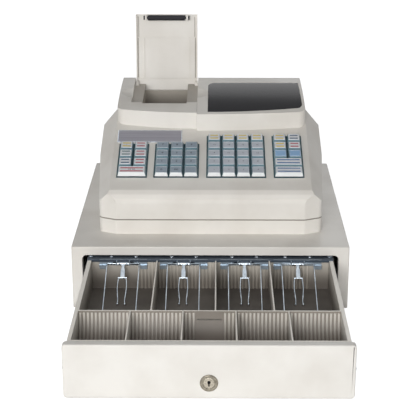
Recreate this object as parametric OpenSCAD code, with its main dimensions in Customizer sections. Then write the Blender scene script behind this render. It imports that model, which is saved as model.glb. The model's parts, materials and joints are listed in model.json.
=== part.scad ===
// Electronic ticket register standing on its open cash drawer.
// X runs to the viewer's right, Y runs away from the viewer, Z is up.
// The origin is under the middle of the bounding box, on the counter.

/* [Cabinet] */
// Width of the drawer cabinet
cab_w = 410; // [400:1:440]
// Depth of the drawer cabinet
cab_d = 415; // [410:1:440]
// Height of the cabinet body without its feet
cab_h = 97; // [94:1:110]
// Height of the rubber feet
foot_h = 5; // [4:0.5:10]
// Diameter of a rubber foot
foot_dia = 22; // [16:1:30]
// Distance of a foot's centre from the cabinet's sides
foot_inset = 28; // [22:1:34]
// Thickness of the sheet steel
sheet_t = 1.5; // [1:0.1:2]
// Width of the steel frame beside the drawer mouth
frame_side = 16; // [14:0.5:20]
// Height of the steel frame over the drawer mouth
frame_top = 13.3; // [10:0.1:18]
// Height of the steel lip under the drawer mouth
frame_lip = 3; // [2.5:0.1:4]
// Spacing of the counter screw holes across the base
screw_span_x = 300; // [200:5:320]
// Spacing of the counter screw holes front to back
screw_span_y = 300; // [200:5:320]
// Diameter of a counter screw hole
screw_hole_dia = 5.5; // [4:0.1:7]

/* [Drawer] */
// Length of the open drawer's pan that stays inside the cabinet
pan_kept = 66; // [60:1:90]
// Space between the drawer front and the side of the mouth
front_side_gap = 3.5; // [2:0.1:4.5]
// Height of the drawer front panel
front_h = 75.2; // [72:0.1:77]
// Thickness of the drawer front panel
front_t = 12; // [8:0.5:14]
// Gap between the drawer front panel and the lip below it
front_gap = 2.3; // [1.8:0.1:3]
// Room for a slide between the pan and the side of the mouth
slide_room = 7.6; // [7:0.1:9]
// Thickness of the drawer pan's steel
pan_t = 1; // [0.6:0.1:1.1]
// Length of the drawer pan behind the front panel
pan_l = 352; // [345:1:356]
// Height of the drawer pan's side walls
pan_wall_h = 64; // [58:1:68]
// Height of the lock's centre over the counter
lock_z = 33; // [31:0.5:35]
// Diameter of the lock's bezel
bezel_dia = 23.3; // [22:0.1:26]
// How far the lock's bezel stands out of the panel
bezel_out = 1.8; // [1:0.1:3]
// Diameter of the lock's barrel
barrel_dia = 19; // [17.5:0.1:20]
// Diameter of the lock's turning plug
plug_dia = 15; // [13:0.1:16]

/* [Money tray] */
// Space between the tray and the side of the pan
tray_gap = 0.4; // [0.2:0.05:0.6]
// Height of the tray's top edge over the counter
tray_top = 85; // [84:0.5:86]
// Thickness of the tray's side walls
tray_side_t = 5; // [3:0.1:6]
// Thickness of the tray's floor and cross walls
tray_t = 2.4; // [2:0.1:3]
// Front to back size of the coin cups
coin_d = 93; // [85:1:98]
// Radius of the coin cups' scooped bottom
coin_scoop_r = 40; // [36:1:42]
// Height of the bill compartments' floor over the counter
bill_floor = 40; // [36:1:46]
// Front to back size of the bill compartments
bill_d = 181; // [178:1:184]
// Thickness of a coin divider
coin_div_t = 2.2; // [1.6:0.1:3]
// Thickness of a bill divider
bill_div_t = 1.8; // [1.4:0.1:2.2]
// Pitch of the ribs on the tray's walls
rib_pitch = 5.3; // [5:0.1:7]

/* [Register case] */
// Height of the parting line over the counter
part_z = 124.5; // [120:0.5:130]
// Thickness of the case's walls
case_t = 3; // [2.5:0.1:3.5]
// Depth of the case's front face behind the cabinet's front
case_front = 55; // [50:1:60]
// Depth of the case's back face behind the cabinet's front
case_back = 400; // [396:1:404]
// Half the width of the flat front face
nose_half_w = 142; // [138:1:146]
// Half the width of the case behind its front corners
shoulder_half_w = 168; // [166:1:170]
// Half the width of the case at its widest
case_half_w = 177; // [175:1:179]
// Slope of the keyboard deck in degrees
deck_slope = 18; // [16:0.5:19]
// Half the width of the deck inside its bevelled edges
deck_half_w = 152.5; // [152:0.5:154]
// Height of the deck's front edge over the counter
deck_z = 168.3; // [164:0.1:170]

/* [Top housings] */
// Half the width of the two top housings together
pod_half_w = 151.5; // [151:0.1:152]
// Place of the split between the two top housings
split_x = -23; // [-24:0.1:-22]
// Height of the housings' highest line over the counter
pod_top = 261.6; // [260:0.1:264]
// Radius of the housings' arched top
pod_arch_r = 830; // [800:5:900]
// Thickness of the housings' walls
pod_t = 2.5; // [2.2:0.1:3]

/* [Printer lid] */
// Width of the lid
lid_w = 105.2; // [102:0.1:106]
// Thickness of the lid's panel
lid_t = 2.4; // [2:0.1:3]
// Depth of the lid's side walls
lid_wall = 7.5; // [6:0.1:8]
// Angle from the shut lid to the open lid
lid_swing = 100; // [92:1:104]
// Diameter of the platen roller
platen_dia = 9; // [8:0.1:10]
// Length of the platen roller
platen_l = 63; // [58:1:66]
// Width of the paper bay
bay_w = 72.6; // [68:0.1:74]

/* [Keys] */
// Distance between neighbouring keys
key_pitch = 22.4; // [22.2:0.1:22.6]
// Width of a key cap
key_w = 18.6; // [17.5:0.1:19.5]
// Depth of a key cap
key_d = 19.4; // [18:0.1:20.4]
// Height of a key cap over the deck
key_h = 8; // [6:0.5:10]
// Travel of a key
key_travel = 3.5; // [2.5:0.1:4]
// Distance from the deck's front edge to the first row of keys
key_row0 = 32.2; // [30:0.1:34]

/* [Hidden] */
$fn = 48;

eps = 0.01;
run_gap = 0.3;
fit_gap = 0.05;

case_color = "#e4e0da";
tray_color = "#d2cdc5";
steel_color = "#b9bcc0";
dark_color = "#2a282b";
black_color = "#1c1c1e";
zinc_color = "#c3cad2";
board_color = "#2f6b45";
teal_color = "#31515c";

// Cabinet
drawer_travel = front_t + pan_l - pan_kept;
cab_front_y = (drawer_travel + bezel_out - cab_d) / 2;
cab_top = foot_h + cab_h;
mouth_half_w = cab_w / 2 - frame_side;
mouth_top = cab_top - frame_top;
mouth_bottom = foot_h + frame_lip;
mouth_r = 7;
cab_edge_r = 3;
jamb_d = 14;
inner_half_w = cab_w / 2 - sheet_t;
base_top = foot_h + sheet_t;

// Drawer, drawn pulled out
front_w = 2 * (mouth_half_w - front_side_gap);
pan_half_w = mouth_half_w - slide_room;
front_y = -drawer_travel;
front_bottom = mouth_bottom + front_gap;
front_top = front_bottom + front_h;
pan_y = front_y + front_t;
pan_back = pan_y + pan_l;
pan_bottom = front_bottom + 1;
pan_top = pan_bottom + pan_wall_h;

// Slides: a channel on the cabinet, an angle on the drawer, four rollers
roller_dia = 19;
axle_dia = 4;
axle_end = 1.7;
channel_bottom = 20;
channel_h = roller_dia + 2 * run_gap + 2 * 1.2;
channel_web_x = mouth_half_w + 1;
channel_in_x = pan_half_w + 2.1;
channel_t = 1.2;
channel_y = jamb_d + sheet_t + 1;
channel_l = cab_d - 2 * sheet_t - channel_y - 10;
front_roller_y = 24;
front_roller_z = channel_bottom + channel_h / 2 + 2.4;
rear_roller_y = pan_back - 4;
rear_roller_z = channel_bottom + channel_h / 2;
angle_t = 1.2;
angle_web_x = pan_half_w;
flange_z = front_roller_z + roller_dia / 2 + run_gap;
roller_x = channel_in_x + 0.4;
roller_w = channel_web_x - roller_x - axle_end;

// Latch behind the closed drawer
shut_back = pan_back + drawer_travel;
latch_y = cab_d - 25;
latch_x = -12;
latch_z = 14;
latch_t = 3;
latch_post_dia = 6;
plunger_dia = 8;
plunger_y = latch_y + 10;
plunger_z = latch_z + 8;
coil_x = 12;
coil_l = 32;
coil_dia = 20;
striker_pin_dia = 4;
cam_y = pan_y + 15;
keeper_y = cam_y + drawer_travel - 0.6;
striker_y = shut_back + 10;
striker_x = -5;

// Money tray
tray_half_w = pan_half_w - pan_t - tray_gap;
tray_y = pan_y + pan_t + run_gap;
tray_bottom = pan_bottom + pan_t;
coin_back = tray_y + coin_d;
bill_front = coin_back + tray_t;
bill_back = bill_front + bill_d;
tray_back = bill_back + tray_t;
cup_half_w = tray_half_w - tray_side_t;
coin_pitch = 2 * (cup_half_w + coin_div_t / 2) / 5;
coin_div_x = [for (i = [-1.5:1:1.5]) i * coin_pitch];
bill_pitch = cup_half_w / 2;
bill_x_1 = -bill_pitch + 9.5;
bill_x_2 = 8;
bill_x_3 = bill_pitch - 1;
bill_div_x = [bill_x_1, bill_x_2, bill_x_3];
coin_rib_n = floor((coin_pitch / 2 - 4) / (rib_pitch * 0.98));
bill_rib_x = bill_x_3 + 13.5;
groove_d = 1.2;
rib_h = 0.9;
rib_w = 1.4;

// Clip bar and bill clips
bar_z = tray_top + 0.1;
bar_t = 1.2;
bar_y = tray_back - 3.4;
bar_d = 23;
bar_screw_x = pan_half_w - 5.4;
bracket_w = bill_pitch - 17.5;
bracket_gap_w = 24;
bracket_t = 1;
bracket_h = 8;
clip_x = [
  (bill_x_1 - cup_half_w) / 2 - 1.1, (bill_x_1 + bill_x_2) / 2 - 4,
  (bill_x_2 + bill_x_3) / 2 + 2.75, (bill_x_3 + cup_half_w) / 2 - 2.75
];
clip_pin_dia = 2;
clip_y = bar_y - 3.6;
clip_z = bar_z - 4.6;
clip_wire = 1.6;
clip_droop = 33;
clip_side_droop = 20;
clip_shank_l = 25;
clip_arm_l = 70;
clip_finger_gap = 10.8;
clip_outer_gap = 47;
clip_outer_l = 104;

// Register case
case_bottom = cab_top;
nose_top_z = 150;
corner_d = 12;
wide_y = case_front + 145;
deck_y = case_front + 11;
deck_end_y = 282;
rear_half_w = 172;
deck_end_z = deck_z + (deck_end_y - deck_y) * tan(deck_slope);
back_z = 187;
back_slope_y = case_back - 12;
back_slope_z = 198;
back_slope = atan((deck_end_z - back_slope_z) / (back_slope_y - deck_end_y));
bevel_angle = 48;
supply_w = 70;
supply_x = case_half_w - 27 - supply_w;
supply_y = case_back - 60 - supply_w;
board_w = 200;
board_l = 120;
board_x = -case_half_w + 37;
board_y = case_front + 75;
boss_dia = 9;
boss_hole_dia = 3.2;
boss_places = [[-140, 90], [140, 90], [-150, 360], [150, 360]];

// Top housings
pod_apex_y = 385;
pod_low = 150;
pod_back = case_back - 3;
left_front = 223.5;
left_front_end = 236;
right_front = 218;
right_front_end = 228;
pod_corner_r = 14;
roof_t = 4;
display_pad_w = 20;
display_y = 262;
display_d = 83;
display_z = 240;
pod_solid = 9.5;

// Printer bay and lid
hinge_y = pod_back - 13;
hinge_z = pod_top - 9.6;
knuckle_r = 6.5;
knuckle_w = 4.5;
lid_tail = 9;
trunnion_dia = 6;
channel_front = 263.5;
channel_back = hinge_y + 3.5;
lid_front = channel_front + 0.8;
lid_right = split_x - 1;
lid_left = lid_right - lid_w;
channel_left = lid_left - 1;
lid_mid = (lid_left + lid_right) / 2;
bay_left = lid_mid - bay_w / 2;
bay_right = lid_mid + bay_w / 2;
bay_front = channel_front - 4.8;
bay_back = channel_back;
platen_y = lid_front + 6;
platen_z = arch(lid_front + 6) - 8.6;
shaft_dia = 4;
shaft_half_l = 39;
bushing_w = 2.4;
gear_dia = 7;
bucket_bottom = 196;
bucket_t = 2;
motor_dia = 20;
motor_l = 16;
gear_module = 0.5;
pinion_teeth = 12;
feed_teeth = 40;
train_y = platen_y;
feed_gear_z = platen_z - 14.1;
motor_z = feed_gear_z - gear_module * (pinion_teeth + feed_teeth) / 2 - 0.05;
train_w = 3;
train_x = bay_left - bucket_t - train_w - 0.6;
head_front = bay_front + 1;
bucket_front = bay_front + 16;

// Keyboard
group_x = [-143, -86.5, -6, 97];
group_cols = [2, 3, 4, 2];
group_rows = [4, 4, 5, 5];
well_z = -2.5;
plate_t = 2;
stem_dia = 7;
stem_gap = 0.2;
cap_taper = 1.6;
board_z = well_z - plate_t - key_travel - 3;
board_t = 1.6;

// Height of the arched top over the counter at depth y
function arch(y) = pod_top + sqrt(pod_arch_r * pod_arch_r - pow(y - pod_apex_y, 2)) - pod_arch_r;

// Points of the arched top from y0 to y1, lowered by d
function arch_points(y0, y1, d, n = 12) =
  [for (i = [0:n]) let (y = y0 + (y1 - y0) * i / n) [y, arch(y) - d]];

// Moves a piece drawn from the cabinet's front face into place
module seat() {
  translate([0, cab_front_y, 0]) children();
}

// Draws in the plane of the deck: Y climbs the deck, Z stands out of it
module on_deck() {
  translate([0, deck_y, deck_z]) rotate([deck_slope, 0, 0]) children();
}

// Turns a (Y, Z) outline into a bar that runs from x0 to x1
module along_x(x0, x1) {
  translate([x0, 0, 0]) rotate([90, 0, 90]) linear_extrude(x1 - x0) children();
}

// Cylinder along X from x0 to x1
module rod_x(x0, x1, d, y, z) {
  translate([x0, y, z]) rotate([0, 90, 0]) cylinder(h = x1 - x0, d = d);
}

// Cylinder along Y from y0 to y1
module rod_y(y0, y1, d, x, z) {
  translate([x, y0, z]) rotate([-90, 0, 0]) cylinder(h = y1 - y0, d = d);
}

// Box between two corners
module block(a, b) {
  translate(a) cube(b - a);
}

// Flat rectangle with rounded corners, centred
module round_rect(w, h, r) {
  square([w - 2 * r, h], center = true);
  square([w, h - 2 * r], center = true);
  for (sx = [-1, 1], sy = [-1, 1]) {
    translate([sx * (w / 2 - r), sy * (h / 2 - r)]) circle(r = r);
  }
}

// ---------------------------------------------------------------- cabinet

module cabinet_shell() {
  mouth_h = mouth_top - mouth_bottom;
  color(case_color) seat() difference() {
    translate([0, cab_d / 2, foot_h]) linear_extrude(cab_h) round_rect(cab_w, cab_d, cab_edge_r);
    difference() {
      translate([0, cab_d / 2, foot_h - 1]) linear_extrude(cab_h + 1 - sheet_t)
        round_rect(cab_w - 2 * sheet_t, cab_d - 2 * sheet_t, cab_edge_r - sheet_t);
      mouth_sleeve(mouth_half_w + sheet_t, mouth_r + sheet_t, sheet_t - eps, jamb_d);
      block([-inner_half_w - 1, 0, foot_h - 2],
            [inner_half_w + 1, sheet_t + eps, mouth_bottom]);
    }
    mouth_sleeve(mouth_half_w, mouth_r, -1, jamb_d + sheet_t + 2);
    for (x = [-60:20:60]) rod_y(cab_d - sheet_t - 1, cab_d + 1, 8, x, cab_top - 20);
    translate([0, case_front + 250, cab_top - sheet_t - 1]) cylinder(h = sheet_t + 2, d = 24);
  }
}

// The drawer mouth's outline, run from y0 over a length, open at its lower edge
module mouth_sleeve(half_w, r, y0, l) {
  top = mouth_top + half_w - mouth_half_w;
  h = top - mouth_bottom;
  translate([0, y0 + l, mouth_bottom + h / 2]) rotate([90, 0, 0]) linear_extrude(l) union() {
    round_rect(2 * half_w, h, r);
    translate([0, -h / 4]) square([2 * half_w, h / 2], center = true);
  }
}

module cabinet_base() {
  color(case_color) seat() difference() {
    union() {
      translate([0, cab_d / 2, foot_h]) linear_extrude(sheet_t)
        round_rect(2 * (inner_half_w - fit_gap), cab_d - 2 * (sheet_t + fit_gap), cab_edge_r - sheet_t);
      for (s = [-1, 1]) {
        x = s * (inner_half_w - fit_gap);
        block([min(x, x - s * sheet_t), 30, base_top - eps],
              [max(x, x - s * sheet_t), cab_d - 30, base_top + 10]);
      }
      // keeper that the lock's cam drops behind
      block([-9, keeper_y - 2, base_top - eps], [9, keeper_y, pan_bottom - 0.9]);
    }
    for (sx = [-1, 1], sy = [-1, 1]) {
      translate([sx * screw_span_x / 2, cab_d / 2 + sy * screw_span_y / 2, foot_h - 1])
        cylinder(h = sheet_t + 2, d = screw_hole_dia);
      foot_place(sx, sy) translate([0, 0, -1]) cylinder(h = sheet_t + 2, d = 6.1);
    }
  }
}

// Moves to the middle of a foot, at the underside of the base
module foot_place(sx, sy) {
  translate([sx * (cab_w / 2 - foot_inset), cab_d / 2 + sy * (cab_d / 2 - foot_inset), foot_h])
    children();
}

module rubber_feet() {
  color(black_color) seat() for (sx = [-1, 1], sy = [-1, 1]) foot_place(sx, sy) {
    rotate_extrude() polygon([
      [0, -foot_h], [foot_dia / 2 - 1.5, -foot_h], [foot_dia / 2, 0],
      [3, 0], [3, sheet_t + 0.05], [4, sheet_t + 0.05], [2, sheet_t + 3], [0, sheet_t + 3]
    ]);
  }
}

module cabinet_rails() {
  web_out = channel_web_x + channel_t;
  color(steel_color) seat() for (s = [0, 1]) mirror([s, 0, 0]) {
    difference() {
      union() {
        block([channel_web_x, channel_y, channel_bottom],
              [web_out, channel_y + channel_l, channel_bottom + channel_h]);
        block([channel_in_x, channel_y, channel_bottom],
              [web_out, channel_y + channel_l, channel_bottom + channel_t]);
        block([channel_in_x, front_roller_y + 12, channel_bottom + channel_h - channel_t],
              [web_out, channel_y + channel_l, channel_bottom + channel_h]);
        // brackets to the cabinet's side wall
        for (y = [channel_y + 30, channel_y + channel_l - 40]) {
          block([web_out - eps, y, base_top + 12], [inner_half_w, y + 20, base_top + 13.5]);
          block([web_out - eps, y, base_top + 12], [web_out + 1.5, y + 20, channel_bottom + 4]);
        }
        // stop for the rear roller
        block([channel_in_x + 0.5, rear_roller_y - roller_dia / 2 - 2.4, channel_bottom + channel_h - 5],
              [web_out, rear_roller_y - roller_dia / 2 - 0.4, channel_bottom + channel_h]);
      }
      // room for the front roller
      rod_x(channel_in_x - 1, channel_web_x, roller_dia + 1.4, front_roller_y, front_roller_z);
    }
    // front roller's axle
    rod_x(roller_x - 0.3, channel_web_x + eps, axle_dia, front_roller_y, front_roller_z);
    rod_x(roller_x - 1, roller_x - 0.25, axle_dia + 3, front_roller_y, front_roller_z);
  }
}

// A nylon roller beside the drawer, seen from its right side
module roller(y, z) {
  difference() {
    rod_x(roller_x, roller_x + roller_w, roller_dia, y, z);
    rod_x(roller_x - 1, roller_x + roller_w + 1, axle_dia + 0.1, y, z);
  }
}

module front_rollers() {
  color("white") seat() for (s = [0, 1]) mirror([s, 0, 0]) roller(front_roller_y, front_roller_z);
}

module rear_rollers() {
  color("white") seat() for (s = [0, 1]) mirror([s, 0, 0]) roller(rear_roller_y, rear_roller_z);
}

// Solenoid, pivot post and spring seat on one bent plate at the back of the cabinet
module latch_frame() {
  plate_y = latch_y - 12;
  color(steel_color) seat() {
    difference() {
      union() {
        block([-60, plate_y, base_top], [50, cab_d - sheet_t, base_top + 1.5]);
        translate([latch_x, latch_y, base_top]) cylinder(h = latch_z - run_gap - base_top, d = 12);
        translate([latch_x, latch_y, base_top])
          cylinder(h = latch_z + latch_t + 1.5 - base_top, d = latch_post_dia);
        translate([latch_x, latch_y, latch_z + latch_t + run_gap]) cylinder(h = 1.2, d = 9);
        rod_x(coil_x, coil_x + coil_l, coil_dia, plunger_y, plunger_z);
        block([coil_x, plunger_y - 6, base_top + 1], [coil_x + coil_l, plunger_y + 6, plunger_z]);
        // seat and guide pin of the kick spring
        block([-50, cab_d - sheet_t - 4, base_top + 1], [-30, cab_d - sheet_t, latch_z + 22]);
        rod_y(shut_back + 8, cab_d - sheet_t - 3, 5, -40, latch_z + 12);
      }
      rod_x(coil_x - 1, coil_x + coil_l - 4, plunger_dia + 0.1, plunger_y, plunger_z);
    }
  }
}

module latch_lever() {
  color(zinc_color) seat() difference() {
    union() {
      translate([latch_x, latch_y, latch_z]) linear_extrude(latch_t) union() {
        circle(d = 11);
        polygon([[-3, 0], [-3, -24], [3, -24], [10, -18.6], [3, -18.6], [3, 0]]);
        polygon([[-3, 0], [-2.4, 12.4], [2.4, 12.4], [3, 0]]);
      }
      translate([latch_x, plunger_y, latch_z + eps]) cylinder(h = latch_t + 8, d = 3.6);
    }
    translate([latch_x, latch_y, latch_z - 1])
      cylinder(h = latch_t + 2, d = latch_post_dia + 0.1);
  }
}

module solenoid_plunger() {
  color(steel_color) seat() difference() {
    union() {
      rod_x(latch_x + 4, coil_x + 14, plunger_dia, plunger_y, plunger_z);
      block([latch_x - 5, plunger_y - 5, latch_z + latch_t + 0.6],
            [latch_x + 5.5, plunger_y + 5, plunger_z + 3]);
    }
    block([latch_x - 2.2, plunger_y - 3.2, latch_z], [latch_x + 2.2, plunger_y + 3.2, latch_z + 20]);
  }
}

module kick_spring() {
  color(steel_color) seat() difference() {
    rod_y(shut_back + 1.5, cab_d - sheet_t - 4, 10, -40, latch_z + 12);
    rod_y(shut_back, cab_d, 5.4, -40, latch_z + 12);
  }
}

// ---------------------------------------------------------------- drawer

module drawer_pan() {
  color(steel_color) seat() difference() {
    union() {
      difference() {
        block([-pan_half_w, pan_y, pan_bottom], [pan_half_w, pan_back, pan_top]);
        block([-pan_half_w + pan_t, pan_y + pan_t, pan_bottom + pan_t],
              [pan_half_w - pan_t, pan_back - pan_t, pan_top + 1]);
      }
      // striker tab and pin on the back wall
      block([striker_x - 4, pan_back - eps, latch_z + latch_t + 1.4],
            [striker_x + 4, striker_y - drawer_travel + 2, latch_z + latch_t + 2.9]);
      translate([striker_x, striker_y - drawer_travel, latch_z - 1])
        cylinder(h = latch_t + 3, d = striker_pin_dia);
      // posts under the clip bar
      for (s = [-1, 1]) {
        block([s * bar_screw_x - 5, tray_back + 5, pan_bottom + eps],
              [s * bar_screw_x + 5, tray_back + 13, bar_z - 0.1]);
      }
    }
    rod_y(pan_y - 1, pan_y + pan_t + 1, barrel_dia + 0.4, 0, lock_z);
    // slot for the lock's cam
    block([-22, cam_y - 1.5, pan_bottom - 1], [7, cam_y + 5, pan_bottom + pan_t + 1]);
  }
}

module drawer_front() {
  mid_z = (front_bottom + front_top) / 2;
  color(case_color) seat() difference() {
    translate([0, pan_y, mid_z]) rotate([90, 0, 0]) linear_extrude(front_t) round_rect(front_w, front_h, 5);
    rod_y(front_y - 1, pan_y + 1, barrel_dia + 0.1, 0, lock_z);
  }
}

module drawer_rails() {
  web = angle_web_x;
  color(steel_color) seat() for (s = [0, 1]) mirror([s, 0, 0]) {
    block([web, pan_y + 6, channel_bottom + 4], [web + angle_t, pan_back, flange_z + angle_t]);
    block([web, pan_y + 6, flange_z], [channel_web_x - 1.4, pan_back, flange_z + angle_t]);
    rod_x(web + angle_t - eps, roller_x + roller_w + 0.3, axle_dia, rear_roller_y, rear_roller_z);
    rod_x(roller_x + roller_w + 0.25, roller_x + roller_w + 0.9, axle_dia + 3, rear_roller_y, rear_roller_z);
  }
}

module lock_barrel() {
  color("#d6d2c8") seat() difference() {
    union() {
      rod_y(front_y - bezel_out, front_y, bezel_dia, 0, lock_z);
      rod_y(front_y - eps, cam_y - 1.6, barrel_dia, 0, lock_z);
    }
    rod_y(front_y - 3, cam_y + 1, plug_dia + 0.1, 0, lock_z);
  }
}

module lock_plug() {
  color("#c9c4b8") seat() difference() {
    union() {
      rod_y(front_y - bezel_out + 0.4, cam_y, plug_dia, 0, lock_z);
      block([-lock_z + pan_bottom - 3.4, cam_y, lock_z - 4], [5, cam_y + 2, lock_z + 4]);
      rod_y(cam_y - eps, cam_y + 4, 7, 0, lock_z);
    }
    rod_y(front_y - 2, front_y + 4, 4.4, 0, lock_z + 1.4);
    block([-0.9, front_y - 2, lock_z - 4.4], [0.9, front_y + 6, lock_z + 2]);
  }
}

// ---------------------------------------------------------------- money tray

module money_tray() {
  color(tray_color) seat() difference() {
    block([-tray_half_w, tray_y, tray_bottom], [tray_half_w, tray_back, tray_top]);
    // coin cups, one scooped trough that the dividers part
    difference() {
      coin_trough();
      coin_ribs();
    }
    // bill compartments
    difference() {
      block([-cup_half_w, bill_front, bill_floor], [cup_half_w, bill_back, tray_top + 1]);
      bill_ribs();
    }
    // hollow underside, and a pocket for the lock
    block([-cup_half_w, tray_y + tray_t, tray_bottom - 1], [cup_half_w, bill_back, bill_floor - tray_t]);
    block([-30, tray_y - 1, tray_bottom - 1], [30, cam_y + 8, lock_z + barrel_dia / 2 + 1]);
    // grooves that hold the dividers
    for (x = coin_div_x) {
      block([x - coin_div_t / 2 - 0.1, tray_y + tray_t - groove_d, coin_floor_z() + 20],
            [x + coin_div_t / 2 + 0.1, coin_back + groove_d, tray_top + 1]);
    }
    for (x = bill_div_x) {
      block([x - bill_div_t / 2 - 0.1, bill_front - groove_d, bill_floor - eps],
            [x + bill_div_t / 2 + 0.1, bill_back + groove_d, tray_top + 1]);
    }
    // coin slot and locking slots
    block([-16.5, coin_back - 3, tray_top - 11.5], [16.5, bill_front + 3, tray_top - 10]);
    for (x = bill_div_x, dx = [-12, 12]) {
      block([x + dx - 1, bill_back - 1, bill_floor + 2], [x + dx + 1, tray_back + 1, bill_floor + 12]);
    }
  }
}

function coin_floor_z() = tray_top - coin_scoop_r - 4;

// A trough along X: upright front and back walls, and a scooped bottom
module coin_trough() {
  y0 = tray_y + tray_t;
  y1 = coin_back;
  r = coin_scoop_r;
  zc = coin_floor_z() + r;
  along_x(-cup_half_w, cup_half_w) union() {
    translate([y0, zc]) square([y1 - y0, tray_top + 1 - zc]);
    translate([y0 + r, zc]) circle(r = r, $fn = 96);
    translate([y1 - r, zc]) circle(r = r, $fn = 96);
    translate([y0 + r, zc - r]) square([y1 - y0 - 2 * r, r]);
  }
}

// Upright ribs on the back wall of the coin cups
module coin_ribs() {
  z1 = tray_top - 7;
  for (i = [0:4], j = [-coin_rib_n:coin_rib_n]) {
    x = (i - 2) * coin_pitch + j * rib_pitch * 0.98;
    if (!(i == 2 && abs(j) < 4)) {
      block([x - rib_w / 2, coin_back - rib_h, coin_floor_z()], [x + rib_w / 2, coin_back + 1, z1]);
    }
  }
}

// Upright ribs on the back wall of the bill compartments, with plain stretches at both ends
module bill_ribs() {
  for (x = [-bill_rib_x:rib_pitch:bill_rib_x]) {
    if (min([for (d = bill_div_x) abs(x - d)]) > 3) {
      block([x - rib_w / 2, bill_back - rib_h, bill_floor - 1], [x + rib_w / 2, bill_back + 1, tray_top - 3]);
    }
  }
}

module coin_dividers() {
  r = coin_scoop_r - 0.3;
  y0 = tray_y + tray_t + 0.3;
  y1 = coin_back - rib_h - 0.2;
  zc = coin_floor_z() + coin_scoop_r;
  color(tray_color) seat() for (x = coin_div_x) along_x(x - coin_div_t / 2, x + coin_div_t / 2) {
    difference() {
      union() {
        translate([y0, zc - 1]) square([y1 - y0, tray_top - zc + 1]);
        translate([y0 + r, zc]) circle(r = r, $fn = 96);
        translate([y1 - r, zc]) circle(r = r, $fn = 96);
        translate([y0 + r, zc - r]) square([y1 - y0 - 2 * r, r]);
        translate([tray_y + tray_t - groove_d + 0.1, zc - 14])
          square([coin_d - tray_t + 2 * groove_d - 0.2, tray_top - zc + 14]);
      }
      translate([y0 - 10, tray_top]) square([coin_d + 20, coin_scoop_r]);
    }
  }
}

module bill_dividers() {
  color(tray_color) seat() for (x = bill_div_x) {
    block([x - bill_div_t / 2, bill_front - groove_d + 0.1, bill_floor],
          [x + bill_div_t / 2, bill_back + groove_d - 0.1, tray_top - 0.4]);
  }
}

module clip_bar() {
  color("#4a525c") seat() difference() {
    union() {
      block([-pan_half_w + 1, bar_y, bar_z], [pan_half_w - 1, bar_y + bar_d, bar_z + bar_t]);
      for (s = [-1, 1]) {
        translate([s * bar_screw_x, tray_back + 9, bar_z + eps]) cylinder(h = bar_t + 1.6, d = 7);
      }
      for (x = clip_x, dx = [-18, 18]) {
        translate([x + dx, bar_y + 9, bar_z + eps]) cylinder(h = bar_t + 0.9, d = 5);
      }
    }
    for (x = [-bar_screw_x + 11:15:bar_screw_x - 11]) {
      if (min([for (c = clip_x) min(abs(x - c - 18), abs(x - c + 18))]) > 5) {
        block([x - 3, bar_y + 8, bar_z - 1], [x + 3, bar_y + 9.5, bar_z + bar_t + 1]);
      }
    }
  }
}

module clip_brackets() {
  top = bar_z;
  y1 = bar_y;
  color(zinc_color) seat() for (x = clip_x) {
    difference() {
      union() {
        // flange in front of the bar, and its foot under the bar
        block([x - bracket_w / 2, y1 - bracket_t, top - bracket_h], [x + bracket_w / 2, y1, top + bar_t]);
        // ears that carry the pivot pin
        for (s = [-1, 1]) {
          block([x + s * 9.5 - 0.6, clip_y - 2, clip_z - 2.4], [x + s * 9.5 + 0.6, y1, top]);
        }
        rod_x(x - 10.5, x + 10.5, clip_pin_dia, clip_y, clip_z);
        // bent tabs at the ends
        for (s = [-1, 1]) {
          block([x + s * (bracket_w / 2 - 5) - 5, y1 - 3.5, top - bracket_h - 5],
                [x + s * (bracket_w / 2 - 5) + 5, y1 - 2.5, top - bracket_h + 1]);
          block([x + s * (bracket_w / 2 - 5) - 5, y1 - 3.5, top - bracket_h],
                [x + s * (bracket_w / 2 - 5) + 5, y1, top - bracket_h + 1]);
        }
      }
      block([x - bracket_gap_w / 2 + 3.3, y1 - bracket_t - 1, top - bracket_h - 1],
            [x + bracket_gap_w / 2 - 3.3, y1 + 1, top - 0.5]);
    }
  }
}

// A sprung bill clip: hub on the pivot pin, shank, two short fingers and two long side wires
module bill_clip(x) {
  color(zinc_color) seat() translate([x, clip_y, clip_z]) difference() {
    union() {
      rod_x(-8.4, 8.4, 4.4, 0, 0);
      rotate([clip_droop, 0, 0]) {
        block([-3, -clip_shank_l, -0.8], [3, 0, 0.8]);
        rod_x(-clip_finger_gap / 2 - 0.8, clip_finger_gap / 2 + 0.8, 2.2, -clip_shank_l, 0);
        for (s = [-1, 1]) {
          rod_y(-clip_arm_l, -clip_shank_l, clip_wire, s * clip_finger_gap / 2, 0);
          translate([s * clip_finger_gap / 2, -clip_arm_l, 0]) sphere(d = 3, $fn = 24);
        }
      }
      rotate([clip_side_droop, 0, 0]) {
        for (s = [-1, 1]) {
          rod_y(-clip_outer_l, -6, clip_wire, s * clip_outer_gap / 2, 0);
          translate([s * clip_outer_gap / 2, -clip_outer_l, 0]) sphere(d = 2.2, $fn = 24);
        }
        rod_x(-clip_outer_gap / 2, clip_outer_gap / 2, clip_wire, -6, 0);
        block([-4, -6, -0.7], [4, -1, 0.7]);
      }
    }
    rod_x(-9, 9, clip_pin_dia + 0.1, 0, 0);
  }
}

module bill_clip_1() { bill_clip(clip_x[0]); }
module bill_clip_2() { bill_clip(clip_x[1]); }
module bill_clip_3() { bill_clip(clip_x[2]); }
module bill_clip_4() { bill_clip(clip_x[3]); }

// ---------------------------------------------------------------- register case

// Half of the case's plan outline drawn in by d, mirrored into a full outline
function plan_half(d) = [
  [0, case_front + d], [nose_half_w - d / 2, case_front + d],
  [shoulder_half_w - d, case_front + corner_d + d / 2],
  [case_half_w - d, wide_y], [case_half_w - d, deck_end_y],
  [rear_half_w - d, case_back - 10], [rear_half_w - 10, case_back - d], [0, case_back - d]
];

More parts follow.
